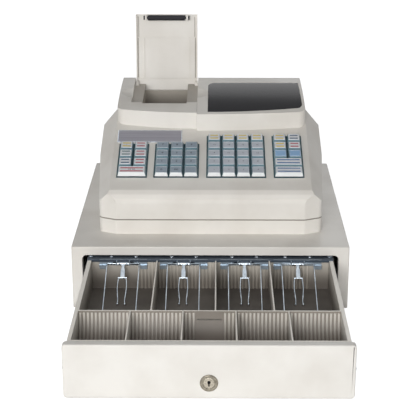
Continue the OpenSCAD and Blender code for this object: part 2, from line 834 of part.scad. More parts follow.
module plan_outline(d) {
  right = plan_half(d);
  polygon(concat(right, [for (i = [len(right) - 2:-1:1]) [-right[i].x, right[i].y]]));
}

// Side outline of the case above the parting line, drawn in by d
module side_outline(d) {
  k = d / cos(deck_slope);
  m = d / cos(back_slope);
  r = deck_z - nose_top_z;
  polygon([
    [case_front + d, 0], [case_back - d, 0], [case_back - d, back_z - d / 2],
    [back_slope_y - d / 2, back_slope_z - m], [deck_end_y, deck_end_z - (k + m) / 2],
    [deck_y, deck_z - k], [case_front + 5 + d * 0.7, deck_z - 5.2 - k * 0.8],
    [case_front + 1.4 + d * 0.9, deck_z - 11.5 - d * 0.4], [case_front + d, nose_top_z]
  ]);
}

// The case as a full body, drawn in by d, from z0 up
module case_body(d, z0) {
  difference() {
    intersection() {
      along_x(-case_half_w - 1, case_half_w + 1) side_outline(d);
      translate([0, 0, z0]) linear_extrude(pod_top) plan_outline(d);
    }
    for (s = [0, 1]) mirror([s, 0, 0]) {
      on_deck() translate([0, case_back - case_front, 0]) rotate([90, 0, 0]) linear_extrude(case_back)
        bevel_wedge(d);
      translate([0, deck_end_y, deck_end_z]) rotate([-back_slope, 0, 0])
        translate([0, case_back - deck_end_y + 80, 0]) rotate([90, 0, 0])
          linear_extrude(case_back - deck_end_y + 80) bevel_wedge(d);
    }
  }
}

// What the bevelled edges take off, in a plane square to the deck
module bevel_wedge(d) {
  x0 = deck_half_w - d * tan(bevel_angle / 2);
  polygon([[x0, -d], [x0 + 60, -d - 60 * tan(bevel_angle)], [x0 + 60, 40], [x0, 40]]);
}

module register_base() {
  h = part_z - case_bottom;
  color(case_color) seat() difference() {
    union() {
      difference() {
        translate([0, 0, case_bottom]) linear_extrude(h) plan_outline(0);
        translate([0, 0, case_bottom + case_t]) linear_extrude(h) plan_outline(case_t);
      }
      for (p = boss_places) {
        translate([p[0], p[1], case_bottom + eps]) cylinder(h = h + 3.5 - eps, d = boss_dia);
      }
      // locating lip inside the parting line
      translate([0, 0, part_z - 6]) linear_extrude(9) difference() {
        plan_outline(case_t + 0.2);
        plan_outline(case_t + 2);
      }
      translate([0, 0, part_z - 6]) linear_extrude(5) difference() {
        plan_outline(case_t - eps);
        plan_outline(case_t + 1);
      }
    }
    for (p = boss_places) {
      translate([p[0], p[1], case_bottom - 1]) cylinder(h = h + 10, d = boss_hole_dia + 0.4);
      translate([p[0], p[1], case_bottom - 1]) cylinder(h = 4, d = 7);
    }
    // window for the rear panel and hole for the drawer lead
    block([-71, case_back - 10, case_bottom + case_t + 1], [71, case_back + 1, part_z + 10]);
    translate([0, case_front + 250, case_bottom - 1]) cylinder(h = case_t + 2, d = 20);
  }
}

module register_cover() {
  color(case_color) seat() {
    difference() {
      case_body(0, part_z);
      difference() {
        case_body(case_t, part_z - 1);
        // bosses that the case screws enter
        for (p = boss_places) {
          translate([p[0], p[1], part_z + 3.5]) cylinder(h = 30, d = boss_dia);
          block([p[0] - 1, p[1] - 45, part_z + 12], [p[0] + 1, p[1] + 45, part_z + 33]);
        }
      }
      for (p = boss_places) {
        translate([p[0], p[1], part_z]) cylinder(h = 28, d = boss_hole_dia - 0.4);
      }
      // wells for the four groups of keys
      for (g = [0:3]) on_deck() translate([0, 0, -10]) linear_extrude(20) well_outline(g, 0.2);
      // hollow under the two top housings
      block([-pod_half_w + 6, left_front_end + 8, part_z + 20], [pod_half_w - 6, pod_back - pod_t - 2, 300]);
      block([-71, case_back - 10, part_z - 1], [71, case_back + 1, part_z + 34]);
      // slots for air in the back
      for (x = [90:9:140], s = [-1, 1]) {
        block([s * x - 2, case_back - 6, part_z + 10], [s * x + 2, case_back + 1, part_z + 34]);
      }
    }
  }
}

// Outline of the well around one group of keys, grown by d
module well_outline(g, d) {
  x0 = group_x[g];
  w = group_cols[g] * key_pitch + 1.6;
  l = group_rows[g] * key_pitch * 0.995 + 1.6;
  translate([x0 - 0.8 - d, key_row0 - 0.8 - d]) square([w + 2 * d, l + 2 * d]);
}

module rear_panel() {
  y = case_back - 2.5;
  color("#55575a") seat() difference() {
    union() {
      block([-70.8, y, case_bottom + case_t + 1.2], [70.8, case_back - 0.2, part_z + 33.8]);
      rod_y(y - 8, case_back + 0.8, 12, 50, part_z + 8);
      for (x = [-50, -28, -6]) {
        block([x - 9, y - 14, part_z], [x + 9, y + 1, part_z + 15]);
      }
    }
    for (x = [-50, -28, -6]) {
      block([x - 6, y - 10, part_z + 3], [x + 6, case_back + 1, part_z + 12]);
    }
    rod_y(y - 5, case_back + 2, 6.4, 50, part_z + 8);
    block([18, case_back - 1.4, part_z + 2], [36, case_back + 1, part_z + 14]);
  }
}

module case_screws() {
  color(steel_color) seat() for (p = boss_places) translate([p[0], p[1], 0]) {
    translate([0, 0, case_bottom + 0.8]) cylinder(h = 2.2, d = 6);
    translate([0, 0, case_bottom + 2.9]) cylinder(h = 42, d = boss_hole_dia - 0.5);
  }
}

// ---------------------------------------------------------------- inside the case

module power_supply() {
  z = case_bottom + case_t;
  color("#8b8f94") seat() {
    translate([supply_x, supply_y, z]) {
      block([0, 0, 0], [supply_w, supply_w, 3]);
      block([8, 10, 3 - eps], [supply_w - 8, supply_w - 10, 40]);
      block([14, 2, 8], [supply_w - 14, supply_w - 2, 34]);
    }
  }
}

module main_board() {
  z = case_bottom + case_t;
  hole_x = [board_x + 6, board_x + board_w - 6];
  hole_y = [board_y + 6, board_y + board_l - 6];
  color(board_color) seat() {
    difference() {
      union() {
        block([board_x, board_y, z + 6], [board_x + board_w, board_y + board_l, z + 7.6]);
        for (x = hole_x, y = hole_y) translate([x, y, z]) cylinder(h = 6.1, d = 6);
        translate([board_x, board_y, z + 7.5]) {
          block([80, 40, 0], [104, 64, 2.5]);
          block([120, 30, 0], [150, 42, 2.5]);
          block([20, 106, 0], [60, 114, 6.5]);
          translate([170, 95, 0]) cylinder(h = 18, d = 14);
        }
      }
      for (x = hole_x, y = hole_y) translate([x, y, z - 1]) cylinder(h = 12, d = 2.6);
    }
  }
}

module keyboard_board() {
  color(board_color) seat() on_deck() {
    block([group_x[0] - 3, key_row0 - 4, board_z - board_t], [group_x[3] + 48, key_row0 + 116, board_z]);
    for (g = [0:3], c = [0:group_cols[g] - 1], r = [0:group_rows[g] - 1]) {
      if (!is_wide(g, r) || c == 0) {
        x = group_x[g] + (is_wide(g, r) ? key_pitch : (c + 0.5) * key_pitch);
        translate([x, row_y(r), board_z - eps]) cylinder(h = 2, d = 11);
      }
    }
  }
}

// The plate that the keys' stems slide in, sunk into a well round each group
module keyboard_frame() {
  color(teal_color) seat() on_deck() difference() {
    union() {
      for (g = [0:3]) translate([0, 0, well_z - plate_t]) linear_extrude(plate_t - well_z) well_outline(g, 0);
      block([group_x[0] - 3, key_row0 - 4, well_z - plate_t],
            [group_x[3] + 48, key_row0 + 116, -case_t - 0.4]);
      for (x = [group_x[0] - 1.5, group_x[3] + 46.5], y = [key_row0 - 2.5, key_row0 + 114.5]) {
        translate([x, y, board_z]) cylinder(h = well_z - plate_t - board_z + eps, d = 3);
      }
    }
    for (g = [0:3]) {
      translate([0, 0, well_z]) linear_extrude(20) well_outline(g, -1);
      for (c = [0:group_cols[g] - 1], r = [0:group_rows[g] - 1]) {
        if (!is_wide(g, r) || c == 0) {
          x = group_x[g] + (is_wide(g, r) ? key_pitch : (c + 0.5) * key_pitch);
          translate([x, row_y(r), well_z - plate_t - 1])
            cylinder(h = plate_t + 4, d = stem_dia + 2 * stem_gap);
        }
      }
    }
  }
}

// Middle of a row of keys, measured up the deck
function row_y(r) = key_row0 + (r + 0.5) * key_pitch * 0.995;

// Whether a group has one wide key in this row
function is_wide(g, r) = (g == 0 && r == 0) || (g == 3 && r < 2);

// A cap with sloping walls over its round stem
module key(x, y, w) {
  z0 = well_z + 0.3 + key_travel;
  translate([x, y, 0]) {
    hull() {
      translate([-w / 2, -key_d / 2, z0]) cube([w, key_d, 0.5]);
      translate([-w / 2 + cap_taper / 2, -key_d / 2 + 0.4, key_h - 0.5])
        cube([w - cap_taper, key_d - 3.4, 0.5]);
    }
    translate([0, 0, board_z + 2 + key_travel + 0.2])
      cylinder(h = z0 - board_z - 2 - key_travel, d = stem_dia);
  }
}

module key_column(g, c, rows, tint) {
  color(tint) seat() on_deck() for (r = rows) {
    key(group_x[g] + (c + 0.5) * key_pitch, row_y(r), key_w);
  }
}

module wide_key(g, r, tint) {
  color(tint) seat() on_deck() key(group_x[g] + key_pitch, row_y(r), key_w + key_pitch);
}

module keys_left_1() { key_column(0, 0, [1:3], "#dfe4e2"); }
module keys_left_2() { key_column(0, 1, [1:3], "#dfe4e2"); }
module key_left_wide() { wide_key(0, 0, "#e6e4e4"); }
module keys_number_1() { key_column(1, 0, [0:3], "#8d9aa5"); }
module keys_number_2() { key_column(1, 1, [0:3], "#8d9aa5"); }
module keys_number_3() { key_column(1, 2, [0:3], "#8d9aa5"); }
module keys_goods_1() { key_column(2, 0, [0:4], "#c9cdd0"); }
module keys_goods_2() { key_column(2, 1, [0:4], "#c9cdd0"); }
module keys_goods_3() { key_column(2, 2, [0:4], "#c9cdd0"); }
module keys_goods_4() { key_column(2, 3, [0:4], "#c9cdd0"); }
module keys_right_1() { key_column(3, 0, [2:4], "#dfe4e2"); }
module keys_right_2() { key_column(3, 1, [2:4], "#dfe4e2"); }
module key_total() { wide_key(3, 0, "#e6e8ea"); }
module key_subtotal() { wide_key(3, 1, "#e6e8ea"); }

module name_plate() {
  color("#bdbcc0") seat() on_deck() block([-148, 125.5, 0], [-46, 159, 1.2]);
}

// ---------------------------------------------------------------- top housings

// Plan outline of both housings between x0 and x1, drawn in by d
module pod_plan(x0, x1, front_in, front_out, d) {
  outer = abs(x0) > abs(x1) ? x0 : x1;
  inner = abs(x0) > abs(x1) ? x1 : x0;
  s = sign(outer);
  n = 8;
  cr = pod_corner_r - d;
  cx = outer - s * (cr + d);
  cy = front_out + d + cr - 2;
  polygon(concat(
    [[inner + s * d, pod_back - d], [inner + s * d, front_in + d]],
    [for (i = [1:n]) let (t = i / (n + 1)) [inner + s * d + (cx - inner) * t,
      front_in + d + (cy - cr - front_in - d) * t * t]],
    [for (i = [0:n]) let (a = 90 * i / n) [cx + s * cr * sin(a), cy - cr * cos(a)]],
    [[outer - s * d, pod_back - d]]
  ));
}

// Side outline of the housings, from low under the deck to the arched top lowered by d
module pod_side(d) {
  y0 = right_front - 18;
  polygon(concat([[y0, pod_low]], arch_points(y0, pod_back + 1, d, 16), [[pod_back + 1, pod_low]]));
}

module pod_body(x0, x1, front_in, front_out, d, top_d) {
  intersection() {
    along_x(-pod_half_w - 1, pod_half_w + 1) pod_side(top_d);
    translate([0, 0, pod_low]) linear_extrude(pod_top) pod_plan(x0, x1, front_in, front_out, d);
  }
}

module printer_housing() {
  x0 = -pod_half_w;
  x1 = split_x - 0.3;
  color(case_color) seat() difference() {
    pod_body(x0, x1, left_front, left_front_end, 0, 0);
    case_body(0, 100);
    difference() {
      pod_body(x0, x1, left_front, left_front_end, pod_t, pod_solid + pod_t);
      // walls under the sides of the lid channel
      block([channel_left - 6, hinge_y - 8, hinge_z - 10], [channel_left, hinge_y + 8, pod_top]);
    }
    // channel for the lid
    along_x(channel_left, x1 + 1)
      polygon(concat([[channel_front, 300]], arch_points(channel_front, channel_back, pod_solid),
                     [[channel_back, 300]]));
    block([channel_left, channel_back - eps, hinge_z - 12], [x1 + 1, pod_back + 1, pod_top + 10]);
    // slots for the lid's knuckles
    for (x = [channel_left, lid_right - knuckle_w - 1]) {
      block([x, hinge_y - knuckle_r - 1.5, hinge_z - knuckle_r - 1.5],
            [x + knuckle_w + 2, pod_back, pod_top + 10]);
    }
    // mouth of the paper bay, and notch for the platen's ends
    block([bay_left, bay_front, 200], [bay_right, bay_back, 300]);
    block([lid_mid - shaft_half_l - 3.6, platen_y - 6, platen_z - 8],
          [lid_mid + shaft_half_l + 2.5, platen_y + 6, 300]);
    rod_x(channel_left - 4.6, channel_left + 1, trunnion_dia + 0.1, hinge_y, hinge_z);
    // finger scoop
    translate([channel_left + 9, 303, arch(303) + 53.6]) sphere(r = 60, $fn = 96);
  }
}

module display_housing() {
  x0 = split_x;
  x1 = pod_half_w;
  color(case_color) seat() difference() {
    pod_body(x0, x1, right_front, right_front_end, 0, 0);
    case_body(0, 100);
    difference() {
      pod_body(x0, x1, right_front, right_front_end, pod_t, roof_t);
      block([x0, display_y, pod_low], [x0 + display_pad_w, display_y + display_d, pod_top + 1]);
      block([x0, hinge_y - 8, hinge_z - 8], [x0 + 6, hinge_y + 8, pod_top]);
    }
    intersection() {
      along_x(x0, x1) polygon(concat(arch_points(right_front, pod_back, 5), above_pods()));
      translate([0, 0, pod_low]) linear_extrude(pod_top) window_outline(-2);
    }
    intersection() {
      along_x(x0, x1) polygon(concat(arch_points(right_front, pod_back, 2.2), above_pods()));
      translate([0, 0, pod_low]) linear_extrude(pod_top) window_outline(0.1);
    }
    rod_x(x0 - 1, x0 + 4.6, trunnion_dia + 0.1, hinge_y, hinge_z);
    translate([channel_left_mirror(), 303, arch(303) + 53.6]) sphere(r = 60, $fn = 96);
  }
}

// Two points above the housings, that close an outline over them
function above_pods() = [[pod_back, pod_top + 40], [right_front, pod_top + 40]];

function channel_left_mirror() = split_x - 9;

// Plan outline of the display window, grown by g: two square corners and two round ones
module window_outline(g) {
  xa = split_x + 17.5 - g;
  xb = pod_half_w - 4.5 + g;
  ya = right_front + 8.5 - g;
  yb = right_front_end + 19 - g;
  yc = pod_back - 35 + g;
  n = 8;
  polygon(concat(
    [for (i = [0:n]) let (t = i / n) [xa + (xb - 8 - xa) * t, ya + (yb - 6 - ya) * t * t]],
    [for (i = [1:n]) let (a = 90 * i / n) [xb - 8 + 8 * sin(a), yb + 12 - 18 * cos(a)]],
    [[xb - 1, yc]],
    [for (i = [0:n]) let (a = 90 * i / n) [xa + 12 - 12 * sin(a), yc - 22 + 22 * cos(a)]]
  ));
}

module display_window() {
  color(dark_color) seat() intersection() {
    along_x(split_x, pod_half_w)
      polygon(concat(arch_points(right_front, pod_back, 2.2),
        [for (i = [0:12]) arch_points(right_front, pod_back, 0.2)[12 - i]]));
    translate([0, 0, pod_low]) linear_extrude(pod_top) window_outline(0);
  }
}

module display_module() {
  color(board_color) seat() {
    x0 = split_x + display_pad_w;
    x1 = pod_half_w - pod_t;
    block([x0, display_y, display_z], [x1, display_y + display_d, display_z + 1.6]);
    block([x0 + 17, display_y + 13, display_z + 1.5], [x1 - 19, display_y + display_d - 15, display_z + 7]);
    block([x0 + 23, display_y + 28, display_z + 6.9], [x1 - 25, display_y + display_d - 27, display_z + 10]);
  }
}

// ---------------------------------------------------------------- printer

module paper_bucket() {
  r = 22;
  y0 = bucket_front;
  y1 = bay_back;
  top = arch(bucket_front) - pod_solid - pod_t - run_gap;
  color(tray_color) seat() difference() {
    along_x(bay_left - bucket_t, bay_right + bucket_t)
      bucket_outline(y0, y1, bucket_bottom - bucket_t, top, r + bucket_t);
    along_x(bay_left, bay_right)
      bucket_outline(y0 + bucket_t, y1 - bucket_t, bucket_bottom, top + 1, r);
  }
}

module bucket_outline(y0, y1, z0, z1, r) {
  translate([y0, z0 + r]) square([y1 - y0, z1 - z0 - r]);
  translate([y0 + r, z0 + r]) circle(r = r);
  translate([y1 - r, z0 + r]) circle(r = r);
  translate([y0 + r, z0]) square([y1 - y0 - 2 * r, r + 1]);
}

module print_head() {
  x0 = bay_left + 2;
  x1 = bay_right - 2;
  color(steel_color) seat() {
    block([x0, head_front, 222], [x1, platen_y - platen_dia / 2 - run_gap, platen_z + 3]);
    block([x0, head_front, 222], [x1, bucket_front, 224]);
  }
}

module feed_motor() {
  plate_x = train_x - 2;
  color("#6e7276") seat() {
    rod_x(plate_x - motor_l, plate_x + eps, motor_dia, train_y, motor_z);
    rod_x(plate_x, train_x + train_w + 0.4, 2, train_y, motor_z);
    rod_x(plate_x, train_x + train_w + 0.3, 3, train_y, feed_gear_z);
    block([plate_x, train_y - 9, motor_z - 9], [plate_x + 1, bucket_front + 22, feed_gear_z + 4]);
    for (z = [motor_z, feed_gear_z - 2]) {
      rod_x(plate_x + 0.9, bay_left - bucket_t, 6, bucket_front + 16, z);
    }
  }
}

// A spur gear's flat outline
module gear_outline(teeth) {
  r = gear_module * teeth / 2;
  union() {
    circle(r = r - gear_module);
    for (i = [0:teeth - 1]) rotate(360 * i / teeth) {
      polygon([[r - 1.2 * gear_module, -0.42 * gear_module * PI / 2 * 1.3],
               [r + 0.8 * gear_module, -0.2 * gear_module * PI / 2],
               [r + 0.8 * gear_module, 0.2 * gear_module * PI / 2],
               [r - 1.2 * gear_module, 0.42 * gear_module * PI / 2 * 1.3]]);
    }
  }
}

module motor_pinion() {
  color("white") seat() translate([train_x, train_y, motor_z]) rotate([0, 90, 0])
    linear_extrude(train_w) difference() {
      gear_outline(pinion_teeth);
      circle(d = 2.1);
    }
}

module feed_gear() {
  color("white") seat() translate([train_x, train_y, feed_gear_z]) rotate([0, 90, 0])
    linear_extrude(train_w) difference() {
      rotate(180 + 180 / feed_teeth) gear_outline(feed_teeth);
      circle(d = 3.1);
    }
}

// ---------------------------------------------------------------- lid

// Draws a piece of the shut lid and swings it open
module swung() {
  translate([0, hinge_y, hinge_z]) rotate([-lid_swing, 0, 0]) translate([0, -hinge_y, -hinge_z]) children();
}

module printer_lid() {
  color(case_color) seat() swung() difference() {
    union() {
      // arched panel
      along_x(lid_left, lid_right) polygon(concat(arch_points(lid_front, hinge_y + lid_tail, lid_t),
        [for (i = [0:12]) arch_points(lid_front, hinge_y + lid_tail, 0.2)[12 - i]]));
      // side walls
      for (x = [lid_left, lid_right - 2]) {
        along_x(x, x + 2) polygon(concat(arch_points(lid_front, hinge_y, lid_wall),
          [for (i = [0:12]) arch_points(lid_front, hinge_y, 0.2)[12 - i]]));
      }
      // knuckles
      for (x = [lid_left, lid_right - knuckle_w]) {
        rod_x(x, x + knuckle_w, 2 * knuckle_r, hinge_y, hinge_z);
        block([x, hinge_y - knuckle_r, hinge_z], [x + knuckle_w, hinge_y + knuckle_r, pod_top - 1]);
      }
      rod_x(lid_left - 4, lid_left + 2, trunnion_dia, hinge_y, hinge_z);
      rod_x(lid_right - 2, lid_right + 4, trunnion_dia, hinge_y, hinge_z);
      // ears that carry the platen's bushings
      for (s = [-1, 1]) {
        x = lid_mid + s * (platen_l / 2 + 2 + bushing_w / 2);
        block([x - bushing_w / 2, platen_y - 4.5, platen_z - 3.5],
              [x + bushing_w / 2, platen_y + 4, arch(platen_y) - 1]);
      }
    }
    for (s = [-1, 1]) {
      x = lid_mid + s * (platen_l / 2 + 2 + bushing_w / 2);
      rod_x(x - 3, x + 3, 6.1, platen_y, platen_z);
    }
  }
}

module lid_bushings() {
  color("white") seat() swung() for (s = [-1, 1]) {
    x = lid_mid + s * (platen_l / 2 + 2 + bushing_w / 2);
    difference() {
      union() {
        rod_x(x - bushing_w / 2, x + bushing_w / 2, 6, platen_y, platen_z);
        flange = x + s * (bushing_w / 2 + 0.3);
        rod_x(flange - 0.3, flange + 0.3, 8, platen_y, platen_z);
      }
      rod_x(x - 3, x + 3, shaft_dia + 0.1, platen_y, platen_z);
    }
  }
}

module platen_shaft() {
  color(black_color) seat() swung() {
    rod_x(lid_mid - shaft_half_l, lid_mid + shaft_half_l, shaft_dia, platen_y, platen_z);
    for (s = [-1, 1]) {
      x = lid_mid + s * (shaft_half_l - 1.1);
      rod_x(x - 1.1, x + 1.1, gear_dia, platen_y, platen_z);
    }
  }
}

module platen_roller() {
  color(dark_color) seat() swung() difference() {
    rod_x(lid_mid - platen_l / 2, lid_mid + platen_l / 2, platen_dia, platen_y, platen_z);
    rod_x(lid_mid - platen_l, lid_mid + platen_l, shaft_dia, platen_y, platen_z);
  }
}

cabinet_shell();
cabinet_base();
rubber_feet();
cabinet_rails();
front_rollers();
latch_frame();
latch_lever();
solenoid_plunger();
kick_spring();
drawer_pan();
drawer_front();
drawer_rails();
rear_rollers();
lock_barrel();
lock_plug();
money_tray();
coin_dividers();
bill_dividers();
clip_bar();
clip_brackets();
bill_clip_1();
bill_clip_2();
bill_clip_3();
bill_clip_4();
register_base();
register_cover();
rear_panel();
case_screws();
power_supply();
main_board();
keyboard_board();
keyboard_frame();
keys_left_1();
keys_left_2();
key_left_wide();
keys_number_1();
keys_number_2();
keys_number_3();
keys_goods_1();
keys_goods_2();
keys_goods_3();
keys_goods_4();
keys_right_1();
keys_right_2();
key_total();
key_subtotal();
name_plate();
printer_housing();
display_housing();
display_window();
display_module();
paper_bucket();
print_head();
feed_motor();
motor_pinion();
feed_gear();
printer_lid();
lid_bushings();
platen_shaft();
platen_roller();
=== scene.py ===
import json
import logging
import math
from collections import defaultdict
from collections.abc import Callable, Iterator, Sequence
from contextlib import contextmanager
from dataclasses import dataclass, replace
from enum import Enum
from functools import cache

import bpy
from mathutils import Matrix, Vector

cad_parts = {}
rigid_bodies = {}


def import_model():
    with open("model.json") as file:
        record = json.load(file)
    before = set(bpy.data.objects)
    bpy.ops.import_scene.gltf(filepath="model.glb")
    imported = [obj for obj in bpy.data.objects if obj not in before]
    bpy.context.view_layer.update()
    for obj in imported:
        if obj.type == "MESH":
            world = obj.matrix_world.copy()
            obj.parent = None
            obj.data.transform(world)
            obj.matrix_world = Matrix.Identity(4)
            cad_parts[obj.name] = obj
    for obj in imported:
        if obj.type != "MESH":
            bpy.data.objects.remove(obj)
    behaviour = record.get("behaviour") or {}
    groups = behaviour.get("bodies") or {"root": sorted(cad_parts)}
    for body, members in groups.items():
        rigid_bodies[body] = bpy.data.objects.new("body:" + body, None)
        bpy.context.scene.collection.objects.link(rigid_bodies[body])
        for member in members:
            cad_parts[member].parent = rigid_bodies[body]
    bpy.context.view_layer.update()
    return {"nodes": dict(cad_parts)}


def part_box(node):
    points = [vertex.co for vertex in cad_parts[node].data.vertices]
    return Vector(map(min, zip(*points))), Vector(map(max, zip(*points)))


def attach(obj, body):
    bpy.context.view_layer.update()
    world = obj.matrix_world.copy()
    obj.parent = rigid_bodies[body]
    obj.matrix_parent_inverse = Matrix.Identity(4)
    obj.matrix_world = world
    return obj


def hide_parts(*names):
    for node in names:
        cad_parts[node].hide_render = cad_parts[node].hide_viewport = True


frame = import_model()

Piece = bpy.types.Object
Point = tuple[float, float, float]
Socket = str | int
log = logging.getLogger("ticket_register")

MM = 0.001
# Up to this many millimetres from a face, a place counts as on it
NEAR = 0.05
CABINET_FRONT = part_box("cabinet_shell")[0].y
# The keyboard deck's lower edge, behind the cabinet's front and over the counter, and its slope
DECK_FOOT = (0.0, 66.0, 168.3)
DECK_SLOPE = math.radians(18)


# ---------------------------------------------------------------- shaping


class Pick(Enum):
    """What kind of mesh element is chosen in edit mode."""

    EDGES = (False, True, False)
    FACES = (False, False, True)


def spot(x: float, y: float, z: float) -> Vector:
    """A place given in millimetres from the cabinet's front face, in the frame's metres.

    Args:
        x: Distance to the right of the middle.
        y: Distance behind the cabinet's front face.
        z: Height over the counter.

    Returns:
        The place in metres.
    """
    return Vector((x * MM, y * MM + CABINET_FRONT, z * MM))


def millimetres(v: Vector) -> Vector:
    """The reverse of spot.

    Args:
        v: A place in the frame's metres.

    Returns:
        The place in millimetres from the cabinet's front face.
    """
    return Vector((v.x / MM, (v.y - CABINET_FRONT) / MM, v.z / MM))


def deck_matrix() -> Matrix:
    """Turns and moves what is drawn flat at the origin onto the keyboard deck.

    Returns:
        The matrix from deck metres to the frame.
    """
    return Matrix.Translation(spot(*DECK_FOOT)) @ Matrix.Rotation(DECK_SLOPE, 4, "X")


def clear_selection() -> None:
    """Deselects every object."""
    for other in bpy.context.view_layer.objects:
        other.select_set(False)


def activate(piece: Piece) -> None:
    """Makes one piece the only selected and active object.

    Args:
        piece: The piece to work on.
    """
    clear_selection()
    piece.select_set(True)
    bpy.context.view_layer.objects.active = piece


def settle(name: str) -> Piece:
    """Names the object just added and puts its place into its mesh.

    Args:
        name: The object's name.

    Returns:
        The settled piece.
    """
    piece = bpy.context.object
    piece.name = name
    piece.data.name = name
    activate(piece)
    bpy.ops.object.transform_apply(location=True, rotation=True, scale=True)
    return piece


@contextmanager
def editing(piece: Piece, kind: Pick, test: Callable[..., bool] | None) -> Iterator[None]:
    """Opens a piece in edit mode with chosen elements selected.

    Args:
        piece: The piece to edit.
        kind: Whether edges or faces are chosen.
        test: For faces, takes the middle and the normal; for edges, both ends and the fold in degrees.
            All is selected without a test.

    Yields:
        Nothing; the body of the with statement runs in edit mode.
    """
    activate(piece)
    bpy.context.tool_settings.mesh_select_mode = kind.value
    mesh = piece.data
    for group in (mesh.vertices, mesh.edges, mesh.polygons):
        group.foreach_set("select", [test is None] * len(group))
    if test is not None and kind is Pick.FACES:
        for face in mesh.polygons:
            face.select = test(millimetres(face.center), face.normal)
    elif test is not None:
        folds = edge_folds(mesh)
        ends = [millimetres(v.co) for v in mesh.vertices]
        for edge in mesh.edges:
            a, b = edge.vertices
            edge.select = test(ends[a], ends[b], folds[edge.index])
    bpy.ops.object.mode_set(mode="EDIT")
    try:
        yield
    finally:
        bpy.ops.object.mode_set(mode="OBJECT")


def edge_folds(mesh: bpy.types.Mesh) -> list[float]:
    """The angle between the two faces at each edge.

    Args:
        mesh: The mesh to measure.

    Returns:
        One angle in degrees for each edge; an edge with one face has 180.
    """
    normals: dict[tuple[int, int], list[Vector]] = defaultdict(list)
    for face in mesh.polygons:
        for key in face.edge_keys:
            normals[key].append(face.normal)
    folds = []
    for edge in mesh.edges:
        found = normals[edge.key]
        folds.append(math.degrees(found[0].angle(found[1], 0.0)) if len(found) == 2 else 180.0)
    return folds


def block(name: str, low: Sequence[float], high: Sequence[float]) -> Piece:
    """A box between two corners.

    Args:
        name: The piece's name.
        low: Lowest corner in millimetres from the cabinet's front.
        high: Highest corner.

    Returns:
        The box.
    """
    clear_selection()
    a, b = spot(*low), spot(*high)
    bpy.ops.mesh.primitive_cube_add(size=1, location=(a + b) / 2, scale=b - a)
    return settle(name)


def rod(name: str, start: Sequence[float], end: Sequence[float], diameter: float, sides: int = 32) -> Piece:
    """A round bar between two points.

    Args:
        name: The piece's name.
        start: Middle of one end in millimetres from the cabinet's front.
        end: Middle of the other end.
        diameter: Diameter in millimetres.
        sides: Number of sides.

    Returns:
        The bar.
    """
    clear_selection()
    a, b = spot(*start), spot(*end)
    turn = (b - a).to_track_quat("Z", "Y").to_euler()
    bpy.ops.mesh.primitive_cylinder_add(vertices=sides, radius=diameter * MM / 2, depth=(b - a).length,
                                        location=(a + b) / 2, rotation=turn)
    return settle(name)


def ball(name: str, middle: Sequence[float], diameter: float, rings: int = 8) -> Piece:
    """A small ball.

    Args:
        name: The piece's name.
        middle: Its middle in millimetres from the cabinet's front.
        diameter: Diameter in millimetres.
        rings: Number of rings; it has twice as many segments.

    Returns:
        The ball.
    """
    clear_selection()
    bpy.ops.mesh.primitive_uv_sphere_add(segments=2 * rings, ring_count=rings, radius=diameter * MM / 2,
                                         location=spot(*middle))
    return settle(name)


def wire(name: str, points: Sequence[Point], diameter: float) -> Piece:
    """A bent round wire through the given points.

    Args:
        name: The piece's name.
        points: Middle line in millimetres from the cabinet's front.
        diameter: Diameter of the wire.

    Returns:
        The wire as a closed mesh.
    """
    line = bpy.data.curves.new(name, "CURVE")
    line.dimensions = "3D"
    line.bevel_depth = diameter * MM / 2
    line.bevel_resolution = 2
    line.resolution_u = 5
    line.use_fill_caps = True
    spline = line.splines.new("BEZIER")
    spline.bezier_points.add(len(points) - 1)
    for knot, point in zip(spline.bezier_points, points):
        knot.co = spot(*point)
        knot.handle_left_type = knot.handle_right_type = "AUTO"
    piece = bpy.data.objects.new(name, line)
    bpy.context.scene.collection.objects.link(piece)
    activate(piece)
    bpy.ops.object.convert(target="MESH")
    return settle(name)


def digits(name: str, text: str, height: float) -> Piece:
    """Flat raised characters lying at the origin, read from the front.

    Args:
        name: The piece's name.
        text: Digits or a sign.
        height: Height of the characters in millimetres.

    Returns:
        The characters as a mesh centred on the origin.
    """
    clear_selection()
    bpy.ops.object.text_add()
    words = bpy.context.object
    words.data.body = text
    words.data.size = height * MM * 1.4
    words.data.align_x = "CENTER"
    words.data.align_y = "CENTER"
    words.data.extrude = 0.04 * MM
    words.data.resolution_u = 2
    activate(words)
    bpy.ops.object.convert(target="MESH")
    return settle(name)


def cad_copy(node: str, name: str) -> Piece:
    """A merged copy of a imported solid, ready to be finished.

    Args:
        node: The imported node.
        name: The new piece's name.

    Returns:
        The copy, with flat faces dissolved into whole ones.
    """
    mesh = frame["nodes"][node].data.copy()
    mesh.materials.clear()
    piece = bpy.data.objects.new(name, mesh)
    bpy.context.scene.collection.objects.link(piece)
    with editing(piece, Pick.FACES, None):
        bpy.ops.mesh.remove_doubles(threshold=0.002 * MM)
        bpy.ops.mesh.customdata_custom_splitnormals_clear()
        bpy.ops.mesh.dissolve_limited(angle_limit=math.radians(0.6))
    return piece


def twin(piece: Piece, name: str, move: Matrix) -> Piece:
    """A copy of a piece with its own mesh, moved into place.

    Args:
        piece: The piece to copy.
        name: The copy's name.
        move: Where the copy goes.

    Returns:
        The copy.
    """
    other = bpy.data.objects.new(name, piece.data.copy())
    other.data.transform(move)
    bpy.context.scene.collection.objects.link(other)
    return other


def join(name: str, parts: Sequence[Piece]) -> Piece:
    """Joins several pieces into one.

    Args:
        name: The joined piece's name.
        parts: The pieces; the first one gives its material slots first.

    Returns:
        The joined piece.
    """
    activate(parts[0])
    for part in parts[1:]:
        part.select_set(True)
    if len(parts) > 1:
        bpy.ops.object.join()
    piece = parts[0]
    piece.name = name
    piece.data.name = name
    return piece


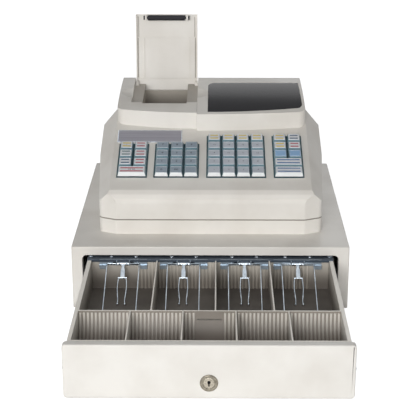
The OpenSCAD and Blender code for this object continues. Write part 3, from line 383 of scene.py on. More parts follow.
def modify(piece: Piece, kind: str, **values: object) -> None:
    """Adds one modifier with the given values and applies it.

    Args:
        piece: The piece to change.
        kind: The modifier's type.
        values: The modifier's properties.
    """
    activate(piece)
    step = piece.modifiers.new(kind.lower(), kind)
    for key, value in values.items():
        setattr(step, key, value)
    bpy.ops.object.modifier_apply(modifier=step.name)


def combine(piece: Piece, tool: Piece, operation: str) -> None:
    """Cuts one piece out of another or adds it, and throws the tool away.

    Args:
        piece: The piece to change.
        tool: The closed shape to take out or to add.
        operation: DIFFERENCE takes it out, and UNION adds it.
    """
    modify(piece, "BOOLEAN", operation=operation, solver="EXACT", object=tool)
    bpy.data.objects.remove(tool)


def round_edges(piece: Piece, width: float, segments: int,
                test: Callable[[Vector, Vector, float], bool] | None = None) -> None:
    """Rounds chosen edges.

    Args:
        piece: The piece to change.
        width: Width of the round in millimetres.
        segments: Number of strips over the round.
        test: Takes both ends and the fold in degrees; without it every edge folded over 30 degrees is taken.
    """
    chosen = test or (lambda a, b, fold: fold > 30)
    with editing(piece, Pick.EDGES, chosen):
        bpy.ops.mesh.bevel(offset=width * MM, segments=segments, profile=0.5, affect="EDGES",
                           clamp_overlap=True)


def smooth(piece: Piece, angle: float = 38.0, weighted: bool = True) -> None:
    """Shades a piece smooth up to an angle, with flat faces kept flat.

    Args:
        piece: The piece to shade.
        angle: Edges folded more than this stay sharp.
        weighted: Whether large faces lead the shading.
    """
    activate(piece)
    bpy.ops.object.shade_smooth_by_angle(angle=math.radians(angle), keep_sharp_edges=False)
    if weighted:
        modify(piece, "WEIGHTED_NORMAL", keep_sharp=True, weight=80)


def paint(piece: Piece, slot: int, test: Callable[[Vector, Vector], bool]) -> None:
    """Gives chosen faces another of the piece's materials.

    Args:
        piece: The piece to paint.
        slot: Number of the material slot.
        test: Takes a face's middle in millimetres and its normal.
    """
    for face in piece.data.polygons:
        if test(millimetres(face.center), face.normal):
            face.material_index = slot


def fill_slots(piece: Piece, finishes: Sequence["Finish"]) -> None:
    """Fills a piece's material slots, and keeps the slot of each face.

    Args:
        piece: The piece to fill.
        finishes: The finishes of its slots, in order.
    """
    kept = [face.material_index for face in piece.data.polygons]
    piece.data.materials.clear()
    for finish in finishes:
        piece.data.materials.append(finish.material())
    piece.data.polygons.foreach_set("material_index", kept)


def dress(piece: Piece, body: str, slot: str, finishes: Sequence["Finish"], *nodes: str) -> Piece:
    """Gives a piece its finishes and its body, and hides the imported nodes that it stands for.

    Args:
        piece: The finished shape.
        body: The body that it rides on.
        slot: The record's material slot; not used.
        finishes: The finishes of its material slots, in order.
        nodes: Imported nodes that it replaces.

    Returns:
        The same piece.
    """
    fill_slots(piece, finishes)
    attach(piece, body)
    if nodes:
        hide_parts(*nodes)
    log.info("%s on %s: %d faces", piece.name, body, len(piece.data.polygons))
    return piece


def dress_node(node: str, finish: "Finish") -> None:
    """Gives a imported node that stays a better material.

    Args:
        node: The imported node.
        finish: Its finish.
    """
    mesh = frame["nodes"][node].data
    if not mesh.materials:
        mesh.materials.append(finish.material())
    for i in range(len(mesh.materials)):
        mesh.materials[i] = finish.material()
    log.info("%s keeps its solid in %s", node, finish.name)


def dress_copy(node: str, name: str, body: str, slot: str, finish: "Finish", width: float = 0.0,
               segments: int = 2, angle: float = 45.0) -> None:
    """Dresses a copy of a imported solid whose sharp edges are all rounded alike.

    Args:
        node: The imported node.
        name: The piece's name.
        body: The body that it rides on.
        slot: The record's material slot.
        finish: Its only finish.
        width: Width of the rounds in millimetres, or 0 for none.
        segments: Number of strips over each round.
        angle: Edges folded more than this stay sharp.
    """
    piece = cad_copy(node, name)
    if width:
        round_edges(piece, width, segments, lambda a, b, fold: fold > 60)
    smooth(piece, angle)
    dress(piece, body, slot, [finish], node)


# ---------------------------------------------------------------- finishes


def linear(hex_color: str) -> tuple[float, float, float, float]:
    """A web colour as linear values.

    Args:
        hex_color: Six hexadecimal digits.

    Returns:
        Red, green, blue and alpha.
    """
    parts = [int(hex_color[i:i + 2], 16) / 255 for i in (0, 2, 4)]
    values = [p / 12.92 if p <= 0.04045 else ((p + 0.055) / 1.055) ** 2.4 for p in parts]
    return (*values, 1.0)


def connect(tree: bpy.types.NodeTree, *links: tuple[bpy.types.Node, Socket, bpy.types.Node, Socket]) -> None:
    """Links nodes of a tree.

    Args:
        tree: The node tree.
        links: For each link the node and socket that it leaves, and the node and socket that it enters.
    """
    for giver, output, taker, entry in links:
        tree.links.new(giver.outputs[output], taker.inputs[entry])


def start_group(name: str, inputs: dict[str, float | tuple[float, ...]], outputs: dict[str, str]
                ) -> tuple[bpy.types.NodeTree, bpy.types.Node, bpy.types.Node]:
    """Makes an empty node group with named sockets.

    Args:
        name: The group's name.
        inputs: First value by name: a number, three numbers for a vector or four for a colour.
        outputs: Float, Vector or Color by name.

    Returns:
        The group's node tree, its input node and its output node.
    """
    tree = bpy.data.node_groups.new(name, "ShaderNodeTree")
    for key, value in inputs.items():
        kind = {1: "Float", 3: "Vector", 4: "Color"}[len(value) if isinstance(value, tuple) else 1]
        socket = tree.interface.new_socket(name=key, in_out="INPUT", socket_type=f"NodeSocket{kind}")
        socket.default_value = value
    for key, kind in outputs.items():
        tree.interface.new_socket(name=key, in_out="OUTPUT", socket_type=f"NodeSocket{kind}")
    return tree, tree.nodes.new("NodeGroupInput"), tree.nodes.new("NodeGroupOutput")


class Effect:
    """Shared node groups, each built on first use and then kept."""

    @staticmethod
    @cache
    def moulded_grain() -> bpy.types.NodeTree:
        """Fine spark-eroded grain with faint flow marks.

        Returns:
            A group that puts out a normal and a slow mottle from 0 to 1.
        """
        tree, given, out = start_group("moulded_grain", {"Size": 1400.0, "Depth": 0.2},
                                       {"Normal": "Vector", "Mottle": "Float"})
        n = tree.nodes
        place = n.new("ShaderNodeTexCoord")
        fine, slow, bump = n.new("ShaderNodeTexNoise"), n.new("ShaderNodeTexNoise"), n.new("ShaderNodeBump")
        fine.inputs["Detail"].default_value = 2.0
        slow.inputs["Scale"].default_value = 14.0
        slow.inputs["Detail"].default_value = 4.0
        bump.inputs["Distance"].default_value = 0.05 * MM
        connect(tree, (place, "Object", fine, "Vector"), (place, "Object", slow, "Vector"),
                (given, "Size", fine, "Scale"), (given, "Depth", bump, "Strength"),
                (fine, "Fac", bump, "Height"), (bump, "Normal", out, "Normal"),
                (slow, "Fac", out, "Mottle"))
        return tree

    @staticmethod
    @cache
    def handled_tone() -> bpy.types.NodeTree:
        """Two close tones of one colour, mixed by a mottle, that darken below a height towards a third
        colour: painted shade in the tray and the paper bay, and a darker band near the counter elsewhere.

        Returns:
            A group that puts out a colour and a roughness.
        """
        tree, given, out = start_group(
            "handled_tone", {"Clean": (0.7, 0.7, 0.7, 1.0), "Handled": (0.6, 0.6, 0.6, 1.0),
                             "Grime": (0.3, 0.3, 0.3, 1.0), "Mottle": 0.5, "Gloss low": 0.4,
                             "Gloss high": 0.55, "Grime low": 0.004, "Grime high": 0.016,
                             "Grime share": 0.5}, {"Color": "Color", "Roughness": "Float"})
        n = tree.nodes
        spread, rough, reach = (n.new("ShaderNodeMapRange") for _ in range(3))
        mix, dust_and_shade_mix = n.new("ShaderNodeMix"), n.new("ShaderNodeMix")
        place, axes, share = (n.new(kind) for kind in ("ShaderNodeTexCoord", "ShaderNodeSeparateXYZ",
                                                       "ShaderNodeMath"))
        share.operation = "MULTIPLY"
        spread.inputs["From Min"].default_value = 0.38
        spread.inputs["From Max"].default_value = 0.66
        reach.interpolation_type = "SMOOTHSTEP"
        reach.inputs["To Min"].default_value = 1.0
        reach.inputs["To Max"].default_value = 0.0
        mix.data_type = dust_and_shade_mix.data_type = "RGBA"
        connect(tree, (given, "Mottle", spread, "Value"), (place, "Object", axes, "Vector"),
                (axes, "Z", reach, "Value"), (given, "Grime low", reach, "From Min"),
                (given, "Grime high", reach, "From Max"), (reach, "Result", share, 0),
                (given, "Grime share", share, 1), (spread, "Result", mix, "Factor"),
                (given, "Clean", mix, 6), (given, "Handled", mix, 7), (share, "Value", dust_and_shade_mix, "Factor"),
                (mix, 2, dust_and_shade_mix, 6), (given, "Grime", dust_and_shade_mix, 7), (dust_and_shade_mix, 2, out, "Color"),
                (given, "Mottle", rough, "Value"), (given, "Gloss low", rough, "To Min"),
                (given, "Gloss high", rough, "To Max"), (rough, "Result", out, "Roughness"))
        return tree

    @staticmethod
    @cache
    def brush_lines() -> bpy.types.NodeTree:
        """Fine parallel lines, as brushing or rolling leaves on metal.

        Returns:
            A group that puts out a streak from 0 to 1 and a normal.
        """
        tree, given, out = start_group("brush_lines", {"Along": (1.0, 1.0, 1.0), "Depth": 0.3},
                                       {"Streak": "Float", "Normal": "Vector"})
        n = tree.nodes
        place, stretch = n.new("ShaderNodeTexCoord"), n.new("ShaderNodeVectorMath")
        lines, bump = n.new("ShaderNodeTexNoise"), n.new("ShaderNodeBump")
        stretch.operation = "MULTIPLY"
        lines.inputs["Scale"].default_value = 9.0
        lines.inputs["Detail"].default_value = 6.0
        bump.inputs["Distance"].default_value = 0.02 * MM
        connect(tree, (place, "Object", stretch, 0), (given, "Along", stretch, 1),
                (stretch, "Vector", lines, "Vector"), (lines, "Fac", bump, "Height"),
                (given, "Depth", bump, "Strength"), (lines, "Fac", out, "Streak"),
                (bump, "Normal", out, "Normal"))
        return tree


@dataclass(frozen=True)
class Finish:
    """A surface finish; each kind builds its own material.

    Attributes:
        name: The material's name.
        color: The clean colour, as six hexadecimal digits.
        shade: The darker tone that it mottles towards.
    """

    name: str
    color: str
    shade: str

    def material(self) -> bpy.types.Material:
        """The finish's material, built on first use.

        Returns:
            The material.
        """
        found = bpy.data.materials.get(f"finish_{self.name}")
        if found is not None:
            return found
        made = bpy.data.materials.new(f"finish_{self.name}")
        made.use_nodes = True
        made.diffuse_color = linear(self.color)
        self.build(made.node_tree, made.node_tree.nodes["Principled BSDF"])
        return made

    def build(self, tree: bpy.types.NodeTree, shader: bpy.types.Node) -> None:
        """Fills the material's nodes.

        Args:
            tree: The material's node tree.
            shader: Its Principled BSDF.
        """
        raise NotImplementedError

    def tone(self, tree: bpy.types.NodeTree, shader: bpy.types.Node, giver: bpy.types.Node, mottle: str,
             **values: object) -> None:
        """Lets the two tones of the finish drive the shader's colour and roughness.

        Args:
            tree: The material's node tree.
            shader: Its Principled BSDF.
            giver: The effect whose output mixes the tones.
            mottle: The name of that output.
            values: Other values of the shared tone's inputs.
        """
        node = self.effect(tree, Effect.handled_tone(), Clean=linear(self.color), Handled=linear(self.shade),
                           **values)
        connect(tree, (giver, mottle, node, "Mottle"), (node, "Color", shader, "Base Color"),
                (node, "Roughness", shader, "Roughness"))

    def effect(self, tree: bpy.types.NodeTree, group: bpy.types.NodeTree,
               **values: object) -> bpy.types.Node:
        """Places a shared group in the material.

        Args:
            tree: The material's node tree.
            group: The shared group.
            values: Values of the group's inputs, with underscores for spaces.

        Returns:
            The group's node.
        """
        node = tree.nodes.new("ShaderNodeGroup")
        node.node_tree = group
        for key, value in values.items():
            node.inputs[key.replace("_", " ")].default_value = value
        return node


@dataclass(frozen=True)
class Moulded(Finish):
    """Moulded or painted surface with a fine grain.

    Attributes:
        gloss_low: Roughness where it is smoothest.
        gloss_high: Roughness where it is dullest.
        grain: Noise scale of the grain.
        depth: Strength of the grain.
        coat: Weight of a clear top coat.
        dust_and_shade: Colour that the surface darkens to below a height; in the tray and the paper bay this
            is painted shade.
        dust_and_shade_low: Height in metres at which the darkening is strongest.
        dust_and_shade_high: Height at which it ends.
        dust_and_shade_share: Share of that colour where the darkening is strongest.
    """

    gloss_low: float = 0.42
    gloss_high: float = 0.56
    grain: float = 1500.0
    depth: float = 0.25
    coat: float = 0.0
    # By default only the lowest 16 mm over the counter darken, a little, towards this colour.
    dust_and_shade: str = "9a938a"
    dust_and_shade_low: float = 0.004
    dust_and_shade_high: float = 0.016
    dust_and_shade_share: float = 0.45

    def build(self, tree: bpy.types.NodeTree, shader: bpy.types.Node) -> None:
        """Fills the material's nodes, as Finish.build says."""
        grain = self.effect(tree, Effect.moulded_grain(), Size=self.grain, Depth=self.depth)
        self.tone(tree, shader, grain, "Mottle", Gloss_low=self.gloss_low, Gloss_high=self.gloss_high,
                  Grime=linear(self.dust_and_shade), Grime_low=self.dust_and_shade_low, Grime_high=self.dust_and_shade_high,
                  Grime_share=self.dust_and_shade_share)
        connect(tree, (grain, "Normal", shader, "Normal"))
        shader.inputs["Specular IOR Level"].default_value = 0.45
        shader.inputs["Coat Weight"].default_value = self.coat
        shader.inputs["Coat Roughness"].default_value = 0.12


@dataclass(frozen=True)
class Metal(Finish):
    """Plated, brushed or turned metal.

    Attributes:
        roughness: How dull the metal is.
        along: Stretch of the brushing on each axis.
        depth: Strength of the brushing.
        metallic: Share of metal in the surface.
    """

    roughness: float = 0.3
    along: Point = (1.0, 60.0, 60.0)
    depth: float = 0.3
    metallic: float = 1.0

    def build(self, tree: bpy.types.NodeTree, shader: bpy.types.Node) -> None:
        """Fills the material's nodes, as Finish.build says."""
        lines = self.effect(tree, Effect.brush_lines(), Along=self.along, Depth=self.depth)
        self.tone(tree, shader, lines, "Streak", Gloss_low=self.roughness * 0.8,
                  Gloss_high=self.roughness * 1.25, Grime_share=0.0)
        connect(tree, (lines, "Normal", shader, "Normal"))
        shader.inputs["Metallic"].default_value = self.metallic


@dataclass(frozen=True)
class Smoked(Finish):
    """Dark glossy window with faint marks."""

    def build(self, tree: bpy.types.NodeTree, shader: bpy.types.Node) -> None:
        """Fills the material's nodes, as Finish.build says."""
        grain = self.effect(tree, Effect.moulded_grain(), Size=300.0, Depth=0.03)
        self.tone(tree, shader, grain, "Mottle", Gloss_low=0.12, Gloss_high=0.2, Grime_share=0.0)
        shader.inputs["Specular IOR Level"].default_value = 0.03


CASE = Moulded("case_plastic", "e6e2db", "ddd8d0", grain=1300.0, depth=0.3)
SHEET = Moulded("cabinet_paint", "e5e1da", "dcd7cf", gloss_low=0.36, gloss_high=0.5, grain=700.0, depth=0.2)
FRONT = replace(CASE, name="drawer_front_plastic", color="e8e5df", shade="dfdbd4")
# The tray's own plastic, darker towards the bottom of the cups and compartments as painted shade.
TRAY = Moulded("tray_plastic", "dedad2", "d2cdc4", gloss_low=0.4, gloss_high=0.6, grain=1100.0, depth=0.3,
               dust_and_shade="6a625a", dust_and_shade_low=0.046, dust_and_shade_high=0.082, dust_and_shade_share=0.85)
SEAM = replace(CASE, name="seam_plastic", color="9a948a", shade="8d877e")
# Tops of the tray's rims and dividers: a lighter copy of the tray plastic as a painted highlight.
RIM_HIGHLIGHT = Moulded("rim_painted_highlight", "fffaf1", "f5f0e6", gloss_low=0.4, gloss_high=0.55, grain=1100.0)
# Dark strips on the lid's inner face beside its edges: painted shadow lines.
SHADOW_LINES = replace(CASE, name="painted_shadow_line", color="8f887e", shade="837c72")
# Painted shade for the walls of the printer's recess and the inner sides of the lid's flanges.
RECESS_SHADE = replace(CASE, name="recess_painted_shade", color="b9b3aa", shade="aca69d")
# The paper bucket darkens towards the bottom of the printer's bay: painted shade.
BUCKET = Moulded("paper_bucket_plastic", "bdb6ab", "ada69b", grain=1300.0, dust_and_shade="5d564f", dust_and_shade_low=0.205,
                 dust_and_shade_high=0.25, dust_and_shade_share=0.7)
# Dark floor of the note compartments: painted shade.
TRAY_FLOOR_SHADE = Moulded("tray_floor_painted_shade", "6f6962", "5b554f", gloss_low=0.5, gloss_high=0.7, grain=900.0)
RUBBER = Moulded("foot_rubber", "26262a", "1b1b1d", gloss_low=0.7, gloss_high=0.9, grain=900.0, depth=0.5)
ROLLER = Moulded("platen_rubber", "1d1c21", "131216", gloss_low=0.7, gloss_high=0.85, grain=2600.0,
                 depth=0.3)
NYLON = Moulded("white_nylon", "f1f0ec", "e4e2dc", gloss_low=0.3, gloss_high=0.42, grain=1800.0, depth=0.15)
# Black plastic; inside the lock's key slot it is painted shade.
BLACK_AND_SHADE = Moulded("black_plastic", "1d1d20", "151517", gloss_low=0.4, gloss_high=0.55, grain=1500.0)
PANEL = Moulded("panel_plastic", "55575a", "47494c", gloss_low=0.5, gloss_high=0.62, grain=1500.0)
WELL = Moulded("keyboard_well_plastic", "35565f", "2b4851", gloss_low=0.35, gloss_high=0.5, grain=1500.0,
               depth=0.2)
CAP = Moulded("key_cap_plastic", "eff2f2", "e3e8e9", gloss_low=0.22, gloss_high=0.34, grain=1800.0,
              depth=0.1, coat=0.25)
BOARD = Moulded("circuit_board", "2f6b45", "245638", gloss_low=0.3, gloss_high=0.45, grain=1600.0, depth=0.2,
                coat=0.2)
SOCKET = Moulded("socket_plastic", "2a2a2c", "202022", gloss_low=0.45, gloss_high=0.6, grain=1500.0)
INK = Moulded("legend_ink", "3a3e48", "2d3039", gloss_low=0.5, gloss_high=0.6, grain=1500.0, depth=0.1)
ZINC = Metal("zinc_steel", "c6c8ca", "b2b5b8", roughness=0.38)
STEEL = Metal("bare_steel", "c9c9c8", "aeaead", roughness=0.28)
NICKEL = Metal("satin_nickel", "b3ac9e", "928b7e", roughness=0.26, along=(30.0, 1.0, 30.0), depth=0.15)
BEZEL = replace(NICKEL, name="bezel_nickel", color="8f897c", shade="716b60", roughness=0.24)
DARK_ZINC = Metal("dark_zinc", "4d5763", "39414b", roughness=0.42, metallic=0.55)
BRIGHT_ZINC = Metal("bright_zinc", "d3dae1", "b3bcc6", roughness=0.24, along=(40.0, 2.0, 40.0), depth=0.2)
BRASS = Metal("socket_brass", "c9a961", "a5874a", roughness=0.3)
PLATE = Metal("brushed_plate", "a5a3ac", "8d8b94", roughness=0.5, along=(0.6, 70.0, 70.0), depth=0.5,
              metallic=0.1)
PAN = Moulded("zinc_pan", "c9cacb", "b9bbbd", gloss_low=0.35, gloss_high=0.5, grain=500.0, depth=0.2)
# Walls of the note compartments: a darker copy of the tray plastic as painted shade, darker still towards
# the floor.
NOTE_WALL_SHADE = Moulded("note_wall_painted_shade", "bdb7ad", "afa99f", gloss_low=0.4, gloss_high=0.6, grain=1100.0,
                    dust_and_shade="5f5851", dust_and_shade_low=0.046, dust_and_shade_high=0.084, dust_and_shade_share=0.9)
# Ribs on those walls: a shaded copy of the tray plastic, lighter than the walls, with painted shade towards
# the floor.
NOTE_RIB_SHADE = replace(NOTE_WALL_SHADE, name="note_rib_painted_shade", color="cbc5bb", shade="bfb9ae", dust_and_shade="7d756c",
                   dust_and_shade_share=0.8)
# Flutes in the coin cups: the tray plastic with painted shade towards the bottom of the cups.
FLUTE = replace(NOTE_WALL_SHADE, name="flute_plastic", color="dcd7cf", shade="d0cbc2", dust_and_shade="6f665d",
                dust_and_shade_share=0.85)
# Walls of the coin cups: a darker copy of the tray plastic as painted shade, darker still towards the
# bottom.
CUP_SHADE = replace(NOTE_WALL_SHADE, name="cup_painted_shade", color="968e85", shade="878077", dust_and_shade="5f564e", dust_and_shade_low=0.044,
              dust_and_shade_high=0.082, dust_and_shade_share=0.95)
# Painted shade for the caps' sides and backs, and for the fronts above the lowest row, where the keys shade
# each other.
CAP_SHADE = Moulded("cap_painted_shade", "7f9ba6", "718d98", gloss_low=0.3, gloss_high=0.42, grain=1800.0,
                   depth=0.1)
BRACKET = Metal("bracket_zinc", "b2bfca", "97a5b1", roughness=0.34, along=(2.0, 50.0, 50.0), depth=0.2,
                metallic=0.7)
CLIP_WIRE = Metal("clip_wire_zinc", "cdd5dc", "aab4bd", roughness=0.28, along=(40.0, 4.0, 40.0), depth=0.2)
MOTOR = Metal("motor_steel", "8d9196", "777b80", roughness=0.35)
GLASS = Smoked("smoked_window", "252327", "1e1c20")


def printed(name: str, color: str, shade: str, gloss: float) -> Moulded:
    """A thin printed layer on a key.

    Args:
        name: The material's name.
        color: The clean colour.
        shade: The darker tone that it mottles towards.
        gloss: Roughness where it is smoothest.

    Returns:
        The finish.
    """
    return Moulded(name, color, shade, gloss_low=gloss, gloss_high=gloss + 0.1, grain=1500.0, depth=0.05)


class Label(Enum):
    """The tinted tops of the keys, and the coloured bars on them."""

    NUMBER = printed("number_label", "8f9ca8", "84919d", 0.3)
    GOODS = printed("goods_label", "b9bec6", "adb3bc", 0.3)
    PLAIN = printed("plain_label", "dcdde0", "d0d2d6", 0.3)
    YELLOW = printed("yellow_bar", "dcc34a", "cbb23d", 0.4)
    RED = printed("red_bar", "b4505c", "a4434f", 0.4)
    GREEN = printed("green_bar", "4d6f70", "416163", 0.4)
    TEAL = printed("teal_bar", "3d5a74", "334d65", 0.4)
    BLUE = printed("blue_bar", "48709f", "3c6290", 0.4)
    SKY = printed("sky_bar", "8fb3d6", "80a5ca", 0.4)


# ---------------------------------------------------------------- studio


@dataclass
class Studio:
    """Floor, soft light and the camera.

    Attributes:
        focal: The lens's focal length in millimetres on a 36 mm sensor.
        pitch: How far the camera looks down, in degrees.
        yaw: How far it turns to the left, in degrees.
        place: Where the camera stands, in millimetres from the cabinet's front.
        aim: Where every lamp points, in metres.
        floor_size: Side of the floor in metres.
        floor_tone: How light the floor's own colour is.
        floor_glow: Strength of the white that the camera sees over the floor's colour.
        key_power: Power of the front lamp in watts.
        back_power: Power of the lamp behind the register.
        side_power: Power of each side lamp.
        sky: Strength of the world's even light.
    """

    focal: float = 109.46
    pitch: float = 19.372
    yaw: float = 0.4145
    place: Point = (9.155, -1734.03, 772.57)
    aim: Point = (0.0, 0.0, 0.15)
    floor_size: float = 14.0
    floor_tone: float = 0.86
    floor_glow: float = 0.86
    key_power: float = 80.0
    back_power: float = 9.0
    side_power: float = 6.0
    sky: float = 0.12

    def build(self) -> None:
        """Makes the floor, the world, the lamps and the camera."""
        bpy.context.scene.view_settings.view_transform = "Standard"
        self.make_floor()
        self.make_world()
        self.make_lamp("key_softbox", (-0.5, -3.1, 1.15), 1.7, self.key_power)
        self.make_lamp("back_softbox", (0.6, 3.0, 0.9), 1.6, self.back_power, 0.0)
        self.make_lamp("left_softbox", (-2.5, -0.4, 1.0), 1.4, self.side_power)
        self.make_lamp("right_softbox", (2.5, -0.4, 1.0), 1.4, self.side_power)
        self.make_camera()

    def make_floor(self) -> None:
        """Lays a wide pale floor under the register."""
        clear_selection()
        bpy.ops.mesh.primitive_grid_add(x_subdivisions=8, y_subdivisions=8, size=self.floor_size)
        floor = settle("studio_floor")
        made = bpy.data.materials.new("studio_floor")
        made.use_nodes = True
        tree = made.node_tree
        shader = tree.nodes["Principled BSDF"]
        shader.inputs["Base Color"].default_value = (self.floor_tone, self.floor_tone, self.floor_tone, 1)
        shader.inputs["Roughness"].default_value = 0.9
        shader.inputs["Specular IOR Level"].default_value = 0.1
        glow, both, scaled = (tree.nodes.new(kind) for kind in ("ShaderNodeEmission", "ShaderNodeAddShader",
                                                                "ShaderNodeMath"))
        scaled.operation = "MULTIPLY"
        scaled.inputs[1].default_value = self.floor_glow
        connect(tree, (self.seen(tree), "Value", scaled, 0), (scaled, "Value", glow, "Strength"),
                (shader, "BSDF", both, 0), (glow, "Emission", both, 1),
                (both, "Shader", tree.nodes["Material Output"], "Surface"))
        floor.data.materials.append(made)

    def seen(self, tree: bpy.types.NodeTree) -> bpy.types.Node:
        """Adds up the rays that should see the white background.

        Args:
            tree: The node tree to work in.

        Returns:
            A node whose value is 1 for camera, mirror and glass rays.
        """
        path = tree.nodes.new("ShaderNodeLightPath")
        first, second = (tree.nodes.new("ShaderNodeMath") for _ in range(2))
        first.operation = second.operation = "MAXIMUM"
        connect(tree, (path, "Is Camera Ray", first, 0), (path, "Is Glossy Ray", first, 1),
                (first, "Value", second, 0), (path, "Is Transmission Ray", second, 1))
        return second

    def make_world(self) -> None:
        """Makes an even sky that the camera sees as white."""
        world = bpy.data.worlds.new("studio_sky")
        bpy.context.scene.world = world
        world.use_nodes = True
        tree = world.node_tree
        base = tree.nodes["Background"]
        base.inputs["Color"].default_value = (0.97, 0.985, 1.0, 1)
        level = tree.nodes.new("ShaderNodeMapRange")
        level.inputs["To Min"].default_value = self.sky
        level.inputs["To Max"].default_value = 1.0
        connect(tree, (self.seen(tree), "Value", level, "Value"), (level, "Result", base, "Strength"))

    def make_lamp(self, name: str, place: Point, size: float, power: float, glare: float = 1.0) -> None:
        """Hangs one square softbox.

        Args:
            name: The lamp's name.
            place: Where it hangs, in metres.
            size: Its side.
            power: Its power in watts.
            glare: Share of its light that shows in glossy surfaces.
        """
        lamp = bpy.data.lights.new(name, "AREA")
        lamp.specular_factor = glare
        lamp.size = size
        lamp.energy = power
        holder = bpy.data.objects.new(name, lamp)
        holder.location = place
        holder.rotation_euler = (Vector(self.aim) - Vector(place)).to_track_quat("-Z", "Y").to_euler()
        bpy.context.scene.collection.objects.link(holder)

    def make_camera(self) -> None:
        """Sets the camera at the photograph's viewing angle."""
        data = bpy.data.cameras.new("photo_camera")
        data.sensor_width = 36.0
        data.lens = self.focal
        data.clip_end = 50.0
        camera = bpy.data.objects.new("photo_camera", data)
        camera.location = spot(*self.place)
        camera.rotation_euler = (math.radians(90 - self.pitch), 0.0, math.radians(self.yaw))
        bpy.context.scene.collection.objects.link(camera)
        bpy.context.scene.camera = camera


# ---------------------------------------------------------------- cabinet


@dataclass
class Cabinet:
    """The sheet steel cabinet, its base, feet and slides.

    Attributes:
        top: Height of the cabinet's top over the counter.
        fold: Radius of the folded edges.
        mouth_roll: Radius of the rolled edge round the drawer mouth.
        mouth_half_w: Half the width of the mouth.
        mouth_low: Height over which the mouth's edge is rolled.
        middle_y: Middle of the cabinet's depth.
        half_top: Edges of the top farther than this from its middle are folds.
        foot_round: Radius of the feet's lower edge.
        foot_rim: Width of the flat rim under each foot.
        foot_step: Width of the step inside that rim.
        foot_hollow: Depth of the step.
    """

    top: float = 102.0
    fold: float = 1.6
    mouth_roll: float = 1.4
    mouth_half_w: float = 189.0
    mouth_low: float = 7.5
    middle_y: float = 207.5
    half_top: float = 150.0
    foot_round: float = 0.8
    foot_rim: float = 2.5
    foot_step: float = 1.2
    foot_hollow: float = 0.8

    def build(self) -> None:
        """Makes and dresses the cabinet's pieces."""
        self.make_shell()
        dress_copy("cabinet_base", "cabinet_floor", "root", "case_paint", SHEET, angle=38.0)
        self.make_feet()
        self.make_slides()

    def make_shell(self) -> None:
        """Softens the folds of the shell and rolls the edge of the mouth."""
        shell = cad_copy("cabinet_shell", "cabinet_body")
        round_edges(shell, self.mouth_roll, 3, lambda a, b, fold: fold > 40 and max(a.y, b.y) < NEAR
                    and max(abs(a.x), abs(b.x)) < self.mouth_half_w + 0.5
                    and min(a.z, b.z) > self.mouth_low and max(a.z, b.z) < self.top - 5)
        round_edges(shell, self.fold, 3, lambda a, b, fold: fold > 40 and min(a.z, b.z) > self.top - NEAR
                    and max(abs(a.x), abs(a.y - self.middle_y)) > self.half_top)
        smooth(shell)
        dress(shell, "root", "case_paint", [SHEET], "cabinet_shell")

    def make_feet(self) -> None:
        """Rounds the rubber feet and gives each a moulded ring."""
        feet = cad_copy("rubber_feet", "feet")
        round_edges(feet, self.foot_round, 3, lambda a, b, fold: fold > 30 and max(a.z, b.z) < NEAR)
        with editing(feet, Pick.FACES, lambda c, n: c.z < NEAR and n.z < -0.9):
            bpy.ops.mesh.inset(thickness=self.foot_rim * MM)
            bpy.ops.mesh.inset(thickness=self.foot_step * MM, depth=-self.foot_hollow * MM)
        smooth(feet)
        dress(feet, "root", "foot_rubber", [RUBBER], "rubber_feet")

    def make_slides(self) -> None:
        """Dresses the slides, the rollers and the latch."""
        for node, finish in (("cabinet_rails", ZINC), ("drawer_rails", ZINC), ("latch_frame", ZINC),
                             ("latch_lever", BRIGHT_ZINC), ("solenoid_plunger", STEEL),
                             ("front_rollers", NYLON), ("rear_rollers", NYLON)):
            dress_node(node, finish)
        self.make_spring()

    def make_spring(self) -> None:
        """Winds the kick spring in the space of its solid."""
        low, high = (millimetres(v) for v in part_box("kick_spring"))
        turns, steps, thick = 6, 12, 1.2
        radius = (high.x - low.x) / 2 - thick / 2 - 0.2
        middle = (low + high) / 2
        count = turns * steps
        length = high.y - low.y - thick
        points = []
        for i in range(count + 1):
            turn = 2 * math.pi * i / steps
            points.append((middle.x + radius * math.cos(turn), low.y + thick / 2 + length * i / count,
                           middle.z + radius * math.sin(turn)))
        spring = wire("kick_spring_coil", points, thick)
        smooth(spring, weighted=False)
        dress(spring, "root", "bare_steel", [STEEL], "kick_spring")


# ---------------------------------------------------------------- drawer


